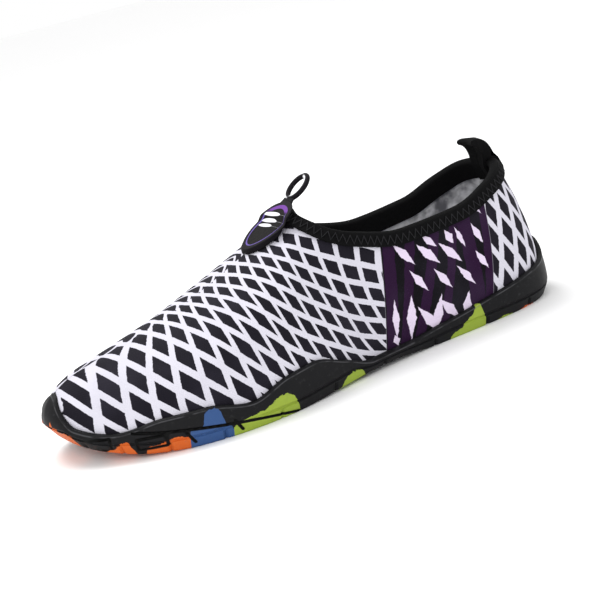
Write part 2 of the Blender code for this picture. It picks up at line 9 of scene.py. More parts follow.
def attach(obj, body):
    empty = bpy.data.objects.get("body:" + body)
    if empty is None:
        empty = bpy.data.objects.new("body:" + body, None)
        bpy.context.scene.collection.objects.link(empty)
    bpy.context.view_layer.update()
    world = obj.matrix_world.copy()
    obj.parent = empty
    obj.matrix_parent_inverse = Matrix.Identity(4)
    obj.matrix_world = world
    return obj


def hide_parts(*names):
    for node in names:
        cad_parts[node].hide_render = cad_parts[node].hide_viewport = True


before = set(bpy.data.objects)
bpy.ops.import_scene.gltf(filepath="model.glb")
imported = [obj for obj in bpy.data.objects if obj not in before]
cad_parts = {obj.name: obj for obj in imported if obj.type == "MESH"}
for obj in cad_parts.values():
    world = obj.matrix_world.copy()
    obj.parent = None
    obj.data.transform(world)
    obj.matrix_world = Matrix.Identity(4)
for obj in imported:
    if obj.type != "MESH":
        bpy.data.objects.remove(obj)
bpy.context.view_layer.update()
print("frame loaded")


# Charts read smoothly between their rows

class Chart:
    def __init__(self, names, *rows):
        self.names = names.split()
        self.rows = np.array(rows, float)

    def at(self, name, where):
        x, y = self.rows[:, 0], self.rows[:, self.names.index(name)]
        gap = np.diff(x)
        rise = np.diff(y) / gap
        slope = np.zeros_like(y)
        slope[0], slope[-1] = rise[0], rise[-1]
        for i in range(1, len(x) - 1):
            if rise[i - 1] * rise[i] > 0:
                before, after = 2 * gap[i] + gap[i - 1], gap[i] + 2 * gap[i - 1]
                slope[i] = (before + after) / (before / rise[i - 1] + after / rise[i])
        where = np.clip(np.asarray(where, float), x[0], x[-1])
        i = np.clip(np.searchsorted(x, where, side="right") - 1, 0, len(x) - 2)
        u = (where - x[i]) / gap[i]
        return ((1 + 2 * u) * (1 - u) ** 2 * y[i] + u * (1 - u) ** 2 * gap[i] * slope[i]
                + u * u * (3 - 2 * u) * y[i + 1] - u * u * (1 - u) * gap[i] * slope[i + 1])


# Helpers for rows of points

def unit(vectors):
    return vectors / np.linalg.norm(vectors, axis=-1, keepdims=True)


def lengths(line):
    steps = np.linalg.norm(np.diff(line, axis=-2), axis=-1)
    return np.concatenate([np.zeros(steps.shape[:-1] + (1,)), np.cumsum(steps, axis=-1)], -1)


def pair(a, b):
    # two numbers at each point, as a piece's chart holds them
    return np.stack(np.broadcast_arrays(a, b), -1)


def turned(lean):
    return math.cos(math.radians(lean)), math.sin(math.radians(lean))


# The last: the form that upper, sole and insole share

last = dict(
    soleLength=0.272, ballWidth=0.099, throatHeight=0.080, heelHeight=0.072,
    upperWall=0.0020, soleThickness=0.0046, sideHeight=0.0180, sideWall=0.0036,
    lipWall=0.0016, sideGap=0.0005, fitGap=0.0003, throat=0.60, halfEdge=0.294,
)

outlinePoints = [  # plan of the sole's edge: share of the length, share of the width, outer side first
    (0.000, 0.000), (0.010, 0.150), (0.045, 0.262), (0.110, 0.325), (0.200, 0.345),
    (0.330, 0.352), (0.460, 0.400), (0.580, 0.470), (0.670, 0.498), (0.760, 0.475),
    (0.850, 0.390), (0.920, 0.270), (0.970, 0.130), (0.993, 0.010),
    (1.000, -0.110),
    (0.992, -0.235), (0.962, -0.350), (0.900, -0.442), (0.820, -0.492), (0.730, -0.500),
    (0.630, -0.450), (0.520, -0.345), (0.420, -0.290), (0.300, -0.290), (0.190, -0.325),
    (0.100, -0.322), (0.040, -0.260), (0.008, -0.150),
]
tipRow = 14

undersideChart = Chart(
    "along height",
    (0.00, 0.0030), (0.04, 0.0006), (0.10, 0.0), (0.30, 0.0), (0.42, 0.0022), (0.55, 0.0012),
    (0.64, 0.0), (0.80, 0.0), (0.88, 0.0014), (0.95, 0.0060), (1.00, 0.0130),
)

sideChart = Chart(
    "share top tuck",
    (0.00, 1.65, 0.0036), (0.03, 1.52, 0.0034), (0.07, 1.14, 0.0030), (0.14, 0.92, 0.0024),
    (0.22, 0.72, 0.0020), (0.30, 0.53, 0.0016), (0.38, 0.41, 0.0014), (0.45, 0.41, 0.0014),
    (0.50, 0.72, 0.0016), (0.56, 1.06, 0.0018), (0.61, 1.00, 0.0018), (0.67, 0.70, 0.0018),
    (0.74, 0.92, 0.0018), (0.80, 0.92, 0.0020), (0.87, 0.76, 0.0028), (0.94, 1.00, 0.0048),
    (0.965, 1.40, 0.0060), (0.985, 1.72, 0.0068), (1.00, 1.82, 0.0070),
)

sectionChart = Chart(
    "share centreX centreZ lean low high",
    (0.00, 0.275, 1.70, 14, 0.30, 0.20),
    (0.10, 0.280, 1.69, 10, 0.30, 0.18),
    (0.20, 0.290, 1.66, 6, 0.30, 0.16),
    (0.36, 0.340, 1.50, 4, 0.30, 0.17),
    (0.48, 0.403, 1.21, 6, 0.34, 0.33),
    (0.55, 0.443, 1.075, 7, 0.39, 0.40),
    (0.60, 0.478, 1.00, 8, 0.42, 0.44),
    (0.70, 0.600, 0.805, 8, 0.42, 0.44),
    (0.79, 0.718, 0.655, 8, 0.42, 0.40),
    (0.88, 0.820, 0.560, 9, 0.42, 0.40),
    (0.95, 0.887, 0.510, 12, 0.42, 0.44),
    (1.00, 0.918, 0.485, 16, 0.44, 0.50),
)

driftChart = Chart(
    "along across", (0.0, 0.0), (0.3, -0.01), (0.6, -0.025), (0.8, -0.06), (1.0, -0.11),
)

collarChart = Chart(
    "share height",
    (0.00, 1.000), (0.06, 0.985), (0.13, 0.915), (0.22, 0.825), (0.33, 0.810), (0.43, 0.900),
    (0.52, 1.020), (0.60, last["throatHeight"] / last["heelHeight"]),
)


def closedCurve(points, steps):
    # centripetal curve through a closed row of points
    points = np.array(points, float)
    curve = []
    for i in range(len(points)):
        a, b, c, d = (points[(i + k) % len(points)] for k in (-1, 0, 1, 2))
        t0 = 0.0
        t1 = t0 + math.sqrt(math.dist(a, b))
        t2 = t1 + math.sqrt(math.dist(b, c))
        t3 = t2 + math.sqrt(math.dist(c, d))
        for t in np.linspace(t1, t2, steps, endpoint=False):
            ab = a + (b - a) * (t - t0) / (t1 - t0)
            bc = b + (c - b) * (t - t1) / (t2 - t1)
            cd = c + (d - c) * (t - t2) / (t3 - t2)
            abc = ab + (bc - ab) * (t - t0) / (t2 - t0)
            bcd = bc + (cd - bc) * (t - t1) / (t3 - t1)
            curve.append(abc + (bcd - abc) * (t - t1) / (t2 - t1))
    return np.array(curve)


def halfOutline(points, side):
    step = unit(np.gradient(points, axis=0))
    normals = np.stack([-step[:, 1], step[:, 0]], axis=1) * side
    normals[0], normals[-1] = (-1, 0), (1, 0)
    run = lengths(points)
    return run / run[-1], points, normals


outlineSteps = 24
plan = closedCurve([(x * last["soleLength"], y * last["ballWidth"]) for x, y in outlinePoints],
                   outlineSteps)
tip = tipRow * outlineSteps
edges = {1: halfOutline(plan[:tip + 1], 1), -1: halfOutline(np.vstack([plan[tip:], plan[:1]])[::-1], -1)}
baseInset = last["sideWall"] + last["sideGap"]


def edge(side, share, inset=0.0):
    # plan points on the sole's edge, moved in by inset, and the outward normals there
    found = []
    for run, points, normals in (edges[1], edges[-1]):
        columns = (*points.T, *normals.T)
        found.append(np.stack([np.interp(share, run, column) for column in columns], -1))
    both = np.where(np.asarray(side)[..., None] > 0, *found)
    point, normal = both[..., :2], unit(both[..., 2:])
    return point - normal * np.asarray(inset)[..., None], normal


def underside(x):
    return undersideChart.at("height", np.asarray(x) / last["soleLength"])


def floorHeight(x):
    return underside(x) + last["soleThickness"]


def centreLine(share):
    # points over the middle of the foot, and the slope there
    def point(at):
        x = sectionChart.at("centreX", at) * last["soleLength"]
        y = driftChart.at("across", x / last["soleLength"]) * last["ballWidth"]
        return np.stack([x, y, sectionChart.at("centreZ", at) * last["throatHeight"]], -1)
    step = 0.002
    ahead = point(np.minimum(share + step, 1)) - point(np.maximum(share - step, 0))
    return point(share), ahead[..., 2] / ahead[..., 0]


def surface(side, share, up):
    # outer face of the upper: up runs from 0 on the sole to 1 on the centre line
    side, share, up = np.broadcast_arrays(np.asarray(side, float), share, up)
    side = np.where((share < 0) | (share > 1), -side, side)
    share = np.where(share > 1, 2 - share, np.abs(share))
    foot2, normal = edge(side, share, baseInset)
    foot = np.concatenate([foot2, (floorHeight(foot2[..., 0]) + last["fitGap"])[..., None]], -1)
    top, slope = centreLine(share)
    size = np.linalg.norm(top - foot, axis=-1)
    lean = np.radians(sectionChart.at("lean", share))
    rise = np.stack([normal[..., 0] * np.sin(lean), normal[..., 1] * np.sin(lean), np.cos(lean)], -1)
    out = unit(foot[..., :2] - top[..., :2])
    down = np.stack([out[..., 0], out[..., 1], slope * out[..., 0]], -1)
    low = foot + rise * (sectionChart.at("low", share) * size)[..., None]
    high = top + down * (sectionChart.at("high", share) * size)[..., None]
    u = up[..., None]
    return (1 - u) ** 3 * foot + 3 * (1 - u) ** 2 * u * low + 3 * (1 - u) * u * u * high + u ** 3 * top


def facing(side, share, up):
    step = 0.001
    along = surface(side, share + step, up) - surface(side, share - step, up)
    low, high = np.maximum(up - step, 0), np.minimum(up + step, 1)
    rise = surface(side, share, high) - surface(side, share, low)
    return unit(np.cross(rise, along) * np.asarray(side, float)[..., None])


def skin(side, share, up, out):
    return surface(side, share, up) + facing(side, share, up) * np.asarray(out)[..., None]


fineUp = np.linspace(0, 1, 241)


def upAtHeight(side, share, height):
    side, share, height = np.broadcast_arrays(side, share, height)
    sections = surface(side[..., None], share[..., None], fineUp)
    grown = np.maximum.accumulate(sections[..., 2], axis=-1).reshape(-1, len(fineUp))
    flat = [np.interp(h, g, fineUp) for h, g in zip(height.ravel(), grown)]
    return np.array(flat).reshape(height.shape)


def collarUp(side, share):
    # how far up the collar cuts each section: 1 where the upper is closed over the foot
    cut = upAtHeight(side, share, collarChart.at("height", share) * last["heelHeight"])
    return np.where(np.asarray(share) < last["throat"] - 1e-9, cut, 1.0)


def spreadUp(side, share, parts):
    # up values that share out each section's length, and that length in metres
    top = collarUp(side, share)
    run = lengths(surface(side[:, None], share[:, None], fineUp))
    full = np.array([np.interp(t, fineUp, r) for t, r in zip(top, run)])
    rows = np.array([np.interp(np.array(parts) * f, r, fineUp) for f, r in zip(full, run)])
    return rows, np.array(parts)[None, :] * full[:, None]


def loopOf(shares):
    side = np.r_[np.ones(len(shares)), -np.ones(len(shares) - 2)]
    return side, np.r_[shares, shares[-2:0:-1]]


def walk(side, share, up, heading, distance, steps):
    # follow the surface from its points, each in its own heading
    stops = [(share, up)]
    reach = 0.001
    for _ in range(steps):
        low, high = np.maximum(up - reach, 0), np.minimum(up + reach, 1)
        along = (surface(side, share + reach, up) - surface(side, share - reach, up)) / (2 * reach)
        rise = (surface(side, share, high) - surface(side, share, low)) / (high - low)[:, None]
        normal = facing(side, share, up)
        heading = unit(heading - normal * np.sum(heading * normal, axis=1, keepdims=True))
        aa, ab, bb = (np.sum(p * q, axis=1) for p, q in ((along, along), (along, rise), (rise, rise)))
        ah, bh = np.sum(along * heading, axis=1), np.sum(rise * heading, axis=1)
        scale = distance / steps / (aa * bb - ab * ab)
        higher = up + (bh * aa - ah * ab) * scale
        share = share + np.where(higher > 1, ah / aa * distance / steps, (ah * bb - bh * ab) * scale)
        up = np.clip(higher, 0, 1)
        stops.append((share, up))
    return stops


def halves(loop):
    # both sides of a closed loop, each from the heel to the toe
    half = len(loop) // 2
    return loop[:half + 1], np.r_[loop[:1], loop[:half - 1:-1]]


# Meshes from rows of points

# The sole is centred on the origin, as the frame's is
toOrigin = np.array((-0.13588, 0.00025, 0.0))
weldReach = 0.00002


def addObject(name, data):
    thing = bpy.data.objects.new(name, data)
    bpy.context.scene.collection.objects.link(thing)
    return thing


def gridFaces(rows, columns, closed, start):
    span = columns if closed else columns - 1
    i = np.arange(span)
    j = (i + 1) % columns
    quads = np.stack([i, j, columns + j, columns + i], 1) + start
    return np.concatenate([quads + row * columns for row in range(rows - 1)])


class Piece:
    # collects grids of points with their charts (named pairs of numbers at each point) into a mesh
    def __init__(self, name):
        self.name = name
        self.points, self.faces, self.marks, self.charts = [], [], [], {}
        self.count = 0

    def grid(self, points, charts=None, closed=True, mark=0):
        points = np.asarray(points, float)
        rows, columns = points.shape[:2]
        self.faces.append(gridFaces(rows, columns, closed, self.count))
        self.marks.append(np.full(len(self.faces[-1]), mark))
        self.points.append(points.reshape(-1, 3) + toOrigin)
        for name, values in (charts or {}).items():
            values = np.asarray(values, float).reshape(-1, 2)
            self.charts.setdefault(name, []).append((self.count, values))
        self.count += rows * columns

    def finish(self, materials, slot, replaces=(), sharp=40):
        points = np.concatenate(self.points)
        faces = np.concatenate(self.faces)
        marks = np.concatenate(self.marks)
        mesh = bpy.data.meshes.new(self.name)
        mesh.from_pydata(points.tolist(), [], faces.tolist())
        loops = faces.ravel()
        for name, parts in self.charts.items():
            whole = np.zeros((len(points), 2))
            for start, values in parts:
                whole[start:start + len(values)] = values
            layer = mesh.uv_layers.new(name=name)
            layer.data.foreach_set("uv", whole[loops].ravel())
        mesh.polygons.foreach_set("material_index", marks.astype(np.int32))
        bm = bmesh.new()
        bm.from_mesh(mesh)
        bmesh.ops.remove_doubles(bm, verts=bm.verts, dist=weldReach)
        bmesh.ops.dissolve_degenerate(bm, edges=bm.edges, dist=weldReach / 10)
        loose = [v for v in bm.verts if not v.link_faces]
        bmesh.ops.delete(bm, geom=loose, context="VERTS")
        bmesh.ops.recalc_face_normals(bm, faces=bm.faces)
        bm.to_mesh(mesh)
        bm.free()
        mesh.shade_smooth()
        mesh.set_sharp_from_angle(angle=math.radians(sharp))
        for material in materials:
            mesh.materials.append(material)
        thing = addObject(self.name, mesh)
        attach(thing, "root")
        for node in replaces:
            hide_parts(node)
        print(self.name, len(mesh.polygons), "faces")
        return thing


def thread(name, path, radius, sides):
    # a round thread along a row of points
    ahead = unit(np.gradient(path, axis=0))
    guide = np.where(np.abs(ahead[:, 2:3]) < 0.9, (0.0, 0.0, 1.0), (1.0, 0.0, 0.0))
    across = unit(np.cross(ahead, guide))
    lift = np.cross(across, ahead)
    turns = np.linspace(0, 2 * math.pi, sides, endpoint=False)[None, :, None]
    rings = path[:, None] + radius * (across[:, None] * np.cos(turns) + lift[:, None] * np.sin(turns))
    caps = np.repeat(path[[0, -1]][:, None], sides, axis=1)
    piece = Piece(name)
    piece.grid(np.concatenate([caps[:1], rings, caps[1:]]))
    return piece


# Shader graphs

class Wire:
    # one socket of a graph, with the operators that add Math nodes
    def __init__(self, graph, socket):
        self.graph, self.socket = graph, socket

    def __add__(self, other): return self.graph.maths("ADD", self, other)
    def __radd__(self, other): return self.graph.maths("ADD", other, self)
    def __sub__(self, other): return self.graph.maths("SUBTRACT", self, other)
    def __rsub__(self, other): return self.graph.maths("SUBTRACT", other, self)
    def __mul__(self, other): return self.graph.maths("MULTIPLY", self, other)
    def __rmul__(self, other): return self.graph.maths("MULTIPLY", other, self)
    def __truediv__(self, other): return self.graph.maths("DIVIDE", self, other)
    def __rtruediv__(self, other): return self.graph.maths("DIVIDE", other, self)
    def __abs__(self): return self.graph.maths("ABSOLUTE", self)


class Graph:
    # one material: constants sit on the shader's own sockets
    def __init__(self, name, **constants):
        self.material = bpy.data.materials.new(name)
        self.material.use_nodes = True
        self.tree = self.material.node_tree
        self.shader = self.tree.nodes["Principled BSDF"]
        for key, value in constants.items():
            self.shader.inputs[key.replace("_", " ")].default_value = value

    def node(self, kind, settings=None, inputs=None, out=0):
        made = self.tree.nodes.new(kind)
        for key, value in (settings or {}).items():
            setattr(made, key, value)
        for key, value in (inputs or {}).items():
            self.plug(made.inputs[key], value)
        return Wire(self, made.outputs[out])

    def plug(self, socket, value):
        if isinstance(value, Wire):
            self.tree.links.new(value.socket, socket)
        else:
            socket.default_value = value

    def maths(self, operation, *values):
        return self.node("ShaderNodeMath", dict(operation=operation), dict(enumerate(values)))

    def chart(self, name):
        # the two numbers that a piece's chart holds at each point
        held = self.node("ShaderNodeUVMap", dict(uv_map=name))
        both = self.node("ShaderNodeSeparateXYZ", inputs={0: held})
        return both, Wire(self, both.socket.node.outputs[1])

    def place(self):
        # position on the object in metres
        return self.node("ShaderNodeTexCoord", out=3)

    def noise(self, where, scale, detail, roughness=0.5):
        return self.node("ShaderNodeTexNoise", inputs={"Vector": where, "Scale": scale,
                                                      "Detail": detail, "Roughness": roughness})

    def step(self, value, low, high, top=1.0, bottom=0.0):
        return self.node("ShaderNodeMapRange", dict(interpolation_type="SMOOTHSTEP"),
                         {0: value, 1: low, 2: high, 3: bottom, 4: top})

    def fall(self, value, low, high, start=1.0):
        return self.step(value, low, high, 0.0, start)

    def most(self, a, b): return self.maths("MAXIMUM", a, b)
    def sine(self, a): return self.maths("SINE", a)

    def blend(self, factor, a, b):
        # colours a and b by a factor
        return self.node("ShaderNodeMix", dict(data_type="RGBA"),
                         {0: factor, 6: self.tint(a), 7: self.tint(b)}, out=2)

    def tint(self, value):
        return value if isinstance(value, Wire) else (*value, 1.0)

    def bump(self, height, distance, strength):
        normal = self.node("ShaderNodeBump",
                           inputs={"Height": height, "Distance": distance, "Strength": strength})
        self.plug(self.shader.inputs["Normal"], normal)

    def colour(self, value):
        self.plug(self.shader.inputs["Base Color"], self.tint(value))

    def rough(self, value):
        self.plug(self.shader.inputs["Roughness"], value)


def rgb(red, green, blue):
    # a screen colour, 0 to 255, as the shader's linear one
    return tuple((v / 255 / 12.92) if v / 255 <= 0.04045 else ((v / 255 + 0.055) / 1.055) ** 2.4
                 for v in (red, green, blue))


# Upper: knitted shell with its lining

# Lines of the printed net counted along the shoe, at four heights up the side
latticeChart = Chart(
    "along p0 p3 p6 p9 q0 q3 q6 q9",
    (-0.03, 18.3, 19.7, 18.9, 17.5, -9.0, -12.6, -15.4, -17.0),
    (-0.01, 15.8, 17.5, 17.4, 16.1, -8.1, -11.5, -14.3, -15.9),
    (0.01, 12.8, 14.6, 15.1, 14.2, -6.8, -9.9, -12.5, -13.9),
    (0.03, 10.0, 11.4, 11.8, 10.4, -5.3, -8.2, -10.2, -11.2),
    (0.05, 7.7, 8.4, 8.4, 6.9, -3.6, -6.2, -7.8, -8.5),
    (0.07, 5.9, 6.0, 5.1, 3.3, -2.0, -4.3, -5.4, -5.9),
    (0.09, 4.2, 3.95, 2.3, -0.2, -0.4, -2.7, -3.5, -4.0),
    (0.11, 2.4, 1.9, 0.1, -2.4, 0.9, -1.2, -2.0, -2.6),
    (0.13, 0.8, -0.2, -2.5, -5.5, 2.2, 0.1, -0.8, -1.5),
)
net = dict(
    step=0.03,  # between the chart's heights
    meet=-2.0,  # where the two counts meet on the fold
    fold=0.009,  # how far the fold between the mirrored halves lies over the centre line
    foldRound=0.002, foldFrom=-0.004, foldRise=0.016, meetFrom=0.02, meetRise=0.02, meetPower=8,
)


def lattice(points, run, full, side):
    # both line counts at each point of the upper
    x = points[..., 0] + toOrigin[0]
    fold = net["fold"] * np.clip((x - net["foldFrom"]) / net["foldRise"], 0, 1)
    over = side * (full - run) + fold
    run, full = full + fold - np.hypot(over, net["foldRound"]), full + fold
    at = run / net["step"]
    weights = [(at - 1) * (at - 2) * (at - 3) / -6, at * (at - 2) * (at - 3) / 2,
               at * (at - 1) * (at - 3) / -2, at * (at - 1) * (at - 2) / 6]
    p, q = (sum(w * latticeChart.at(f"{name}{3 * i}", x) for i, w in enumerate(weights))
            for name in "pq")
    near = (run / full) ** net["meetPower"] * np.clip((x - net["meetFrom"]) / net["meetRise"], 0, 1)
    nudge = 0.5 * (net["meet"] - p - q) * near
    return pair(p + nudge, q + nudge)


upper = dict(
    rowsOut=58, rowsIn=30, heelStations=24, waistStations=40, throatStations=26, vampStations=36,
    toeStations=34, heelTo=0.12, throatSpan=0.1, crowding=1.6, toeFrom=0.84, cut=(0.25, 0.30),
)


def denseShares():
    throat, span = last["throat"], upper["throatSpan"]
    heel, toe = upper["heelTo"], upper["toeFrom"]
    return np.unique(np.concatenate([
        np.linspace(0, heel, upper["heelStations"]),
        np.linspace(heel, throat - span, upper["waistStations"]),
        throat - span * np.linspace(1, 0, upper["throatStations"]) ** upper["crowding"],
        np.linspace(throat, toe, upper["vampStations"]),
        np.linspace(toe, 1, upper["toeStations"]),
    ]))


def joinCentre(grid, share):
    # the two sides meet on the centre line over the foot
    count = len(share)
    closedHere = share >= last["throat"] - 1e-9
    i = np.arange(count)[closedHere]
    j = (count - i) % count
    grid[-1, i] = 0.5 * (grid[-1, i] + grid[-1, j])
    return grid


# Soft creases in mm: along the edge, up the side, half length, half width, lean in degrees, depth
creases = (
    (172, 34, 15, 3.2, 62, 0.55), (181, 30, 13, 2.6, 66, -0.35), (190, 33, 12, 2.8, 70, 0.45),
    (152, 44, 12, 3.4, 52, 0.40), (134, 34, 14, 3.6, 48, 0.35), (215, 26, 9, 2.6, 80, 0.35),
    (98, 30, 13, 4.0, 108, 0.45), (86, 33, 12, 3.2, 112, -0.30), (62, 32, 11, 3.6, 100, 0.40),
    (44, 34, 9, 3.0, 84, 0.30), (30, 30, 10, 3.0, 96, 0.30), (250, 22, 7, 2.4, 40, 0.25),
)


creaseBend = 0.02


def creased(share, run):
    # how far the knit dips below its smooth shape
    x, y = 1000 * share * last["halfEdge"], 1000 * run
    depth = 0.0 * x
    for a, v, long, wide, lean, deep in creases:
        c, s = turned(lean)
        ahead, aside = (x - a) * c + (y - v) * s, (y - v) * c - (x - a) * s
        aside = aside + creaseBend * ahead * ahead / wide
        depth = depth + deep * np.exp(-(ahead / long) ** 2 - (aside / wide) ** 2)
    return 0.001 * depth


def makeUpper(printed, lining):
    side, share = loopOf(denseShares())
    piece = Piece("upper_knit")
    grids, runs = [], []
    for rows, out in ((upper["rowsOut"], 0.0), (upper["rowsIn"], -last["upperWall"])):
        up, run = spreadUp(side, share, np.linspace(0, 1, rows))
        dip = creased(np.broadcast_to(share[:, None], run.shape), run)
        grid = skin(side[:, None], share[:, None], up, out - dip).transpose(1, 0, 2)
        grids.append(joinCentre(grid, share))
        runs.append(run.T)
    for mark, (grid, run) in enumerate(zip(grids, runs)):
        counts = lattice(grid, run, run[-1:], side)
        piece.grid(grid, dict(lay=pair(share, run), net=counts), mark=mark)
    outer, inner = grids
    bare = pair(share, 0.0)
    piece.grid(np.stack([outer[0], inner[0]]), dict(lay=np.stack([bare, bare])), mark=1)
    openHere = np.flatnonzero(share < last["throat"] + 1e-9)
    order = np.roll(openHere, -1 - np.flatnonzero(np.diff(openHere) > 1)[0])
    rim = np.stack([outer[-1][order], inner[-1][order]])
    piece.grid(rim, dict(lay=np.stack([bare[order]] * 2)), closed=False, mark=1)
    shell = piece.finish([printed, lining], "upper", ["upper"])
    return shell


# Insole

insole = dict(wall=0.0030, lift=0.0005, edge=0.0008, lanes=40)


def makeInsole(material):
    side, share = loopOf(denseShares())
    piece = Piece("insole_pad")
    around = baseInset + last["upperWall"] + last["fitGap"]
    wall, corner = insole["wall"], insole["edge"]
    rows = []
    for inset, rise in ((0.0, 0.0), (0.0, wall - corner), (0.3 * corner, wall - 0.3 * corner),
                        (corner, wall)):
        flat, _ = edge(side, share, around + inset)
        rows.append(np.column_stack([flat, floorHeight(flat[:, 0]) + insole["lift"] + rise]))
    rows = np.array(rows)
    piece.grid(rows, dict(lay=rows[..., :2]))
    for loop, rise in ((rows[0], 0.0), (rows[-1], wall)):
        left, right = halves(loop)
        t = np.linspace(0, 1, insole["lanes"] + 1)[None, :, None]
        bed = left[:, None] * (1 - t) + right[:, None] * t
        bed[:, 1:-1, 2] = floorHeight(bed[:, 1:-1, 0]) + insole["lift"] + rise
        piece.grid(bed, dict(lay=bed[..., :2]), closed=False)
    return piece.finish([material], "insole", ["insole"])


# Outsole: moulded rubber cup

sole = dict(
    treadEdge=0.0048, treadBorder=0.0050, treadDepth=0.0020, grooveDepth=0.0007,
    notchWidth=0.0024, notchDepth=0.0014, lugGap=0.0014, lugLanes=4, floorLanes=24,
    treadWave=0.0022, waveRung=0.0500, widestGroove=0.3, corner=0.0005, borderLift=0.0002,
    stations=520, treadRows=9, wallRows=26, insideRows=8,
    bead=0.0004, beadDrop=0.0010, beadWidth=0.0005, cutDepth=0.0009, cutWidth=0.00065,
    notches=(0.05, 0.14, 0.23, 0.33, 0.43, 0.53, 0.63, 0.72, 0.80, 0.87, 0.93),
)

# Thin line moulded in the side wall, falling from the toe to the arch
grooveChart = Chart(
    "share height",
    (0.600, 0.0004), (0.630, 0.0022), (0.665, 0.0042), (0.705, 0.0062), (0.770, 0.0092),
    (0.807, 0.0108), (0.850, 0.0130),
)
sideBlocks = (  # blocks outlined in the wall: share from and to, height from and to
    (0.884, 0.926, 0.0070, 0.0122), (0.802, 0.845, 0.0046, 0.0096),
)
sideSlits = (  # slits that lean across the tread edge: share and height at both ends
    (0.803, 0.0084, 0.799, 0.0102), (0.774, 0.0086, 0.764, 0.0028), (0.703, 0.0074, 0.694, 0.0022),
)


def sideTop(share):
    return sideChart.at("top", share) * last["sideHeight"]


def sideRow(side, share, height, out):
    point = skin(side, share, upAtHeight(side, share, height), out)
    point[:, 2] = height
    return point


def treadRow(side, share, inset, height):
    flat, _ = edge(side, share, inset)
    return np.column_stack([flat, underside(flat[:, 0]) + height])


def soleShares():
    own = np.linspace(0, 1, sole["stations"])
    half = 0.45 * sole["notchWidth"] / last["soleLength"]
    notches = np.array(sole["notches"])
    own = own[np.abs(own[:, None] - notches).min(axis=1) > 1.3 * half]
    return np.sort(np.concatenate([own, notches, notches - half, notches + half])), notches, half


def engraved(share, height):
    # how much of the cut's depth is taken at each point of the wall, 0 to 1
    along = share * last["halfEdge"]
    first, final = grooveChart.rows[[0, -1], 0]
    groove = np.minimum(np.abs(height - grooveChart.at("height", share)), 1.0)
    reach = np.where((share > first) & (share < final), groove, 1.0)
    for s0, s1, low, high in sideBlocks:
        dx = np.abs(along - 0.5 * (s0 + s1) * last["halfEdge"]) - 0.5 * (s1 - s0) * last["halfEdge"]
        dz = np.abs(height - 0.5 * (low + high)) - 0.5 * (high - low)
        box = np.hypot(np.maximum(dx, 0), np.maximum(dz, 0)) + np.minimum(np.maximum(dx, dz), 0)
        reach = np.minimum(reach, np.abs(box))
    for s0, z0, s1, z1 in sideSlits:
        x, dz = s0 * last["halfEdge"], z1 - z0
        dx = s1 * last["halfEdge"] - x
        t = np.clip(((along - x) * dx + (height - z0) * dz) / (dx * dx + dz * dz), 0, 1)
        reach = np.minimum(reach, np.hypot(along - x - t * dx, height - z0 - t * dz))
    return np.exp(-(reach / sole["cutWidth"]) ** 2)


# Painted patches: mm that each colour reaches up the wall, by share of the edge; -9 where there is none
limeTop = Chart(
    "share top",
    (0.000, -9), (0.170, -9), (0.180, 0.8), (0.210, 0.6), (0.222, -9), (0.231, -9), (0.236, 11),
    (0.243, 12.0), (0.254, 8.6), (0.265, 6.4), (0.285, 3.6), (0.300, 1.6), (0.310, -9), (0.462, -9),
    (0.470, 2.4), (0.480, 6.0), (0.495, 6.4), (0.510, 4.4), (0.519, 0.8), (0.525, -9), (0.594, -9),
    (0.602, 4.0), (0.608, 9.0), (0.620, 11.2), (0.638, 9.8), (0.655, 7.6), (0.680, 6.6), (0.700, 5.6),
    (0.707, 4.4), (0.711, -9), (1.000, -9),
)
blueTop = Chart(
    "share top",
    (0.000, -9), (0.705, -9), (0.708, 5.6), (0.717, 6.8), (0.720, 13.0), (0.725, 15.2), (0.737, 15.4),
    (0.743, 14.2), (0.749, 8.4), (0.767, 8.6), (0.772, 1.0), (0.776, -9), (1.000, -9),
)
orangeTop = Chart(
    "share top",
    (0.000, -9), (0.120, -9), (0.130, 0.8), (0.160, 0.6), (0.170, -9), (0.762, -9), (0.768, 5.4),
    (0.790, 7.2), (0.812, 5.8), (0.832, 5.0), (0.842, -2), (0.850, 3.0), (0.859, 9.6), (0.870, 8.6),
    (0.880, 7.0), (0.897, 5.4), (0.903, -9), (0.936, -9), (0.945, 14.4), (0.965, 16.0), (0.978, 17.4),
    (0.985, 21.0), (0.992, 17.0), (1.000, 17.0),
)
farBelow = 20.0  # mm, on parts that aren't near the top edge
lugPaint, floorPaint = 0.0005, 0.03  # heights at which the tread and the floor inside take their paint


def soleCharts(share, height, below=farBelow):
    mm = 1000 * height
    lime, blue, orange = (chart.at("top", share) - mm for chart in (limeTop, blueTop, orangeTop))
    return dict(lay=pair(share, below), paint=pair(lime, blue),
                more=pair(orange, engraved(share, height)))


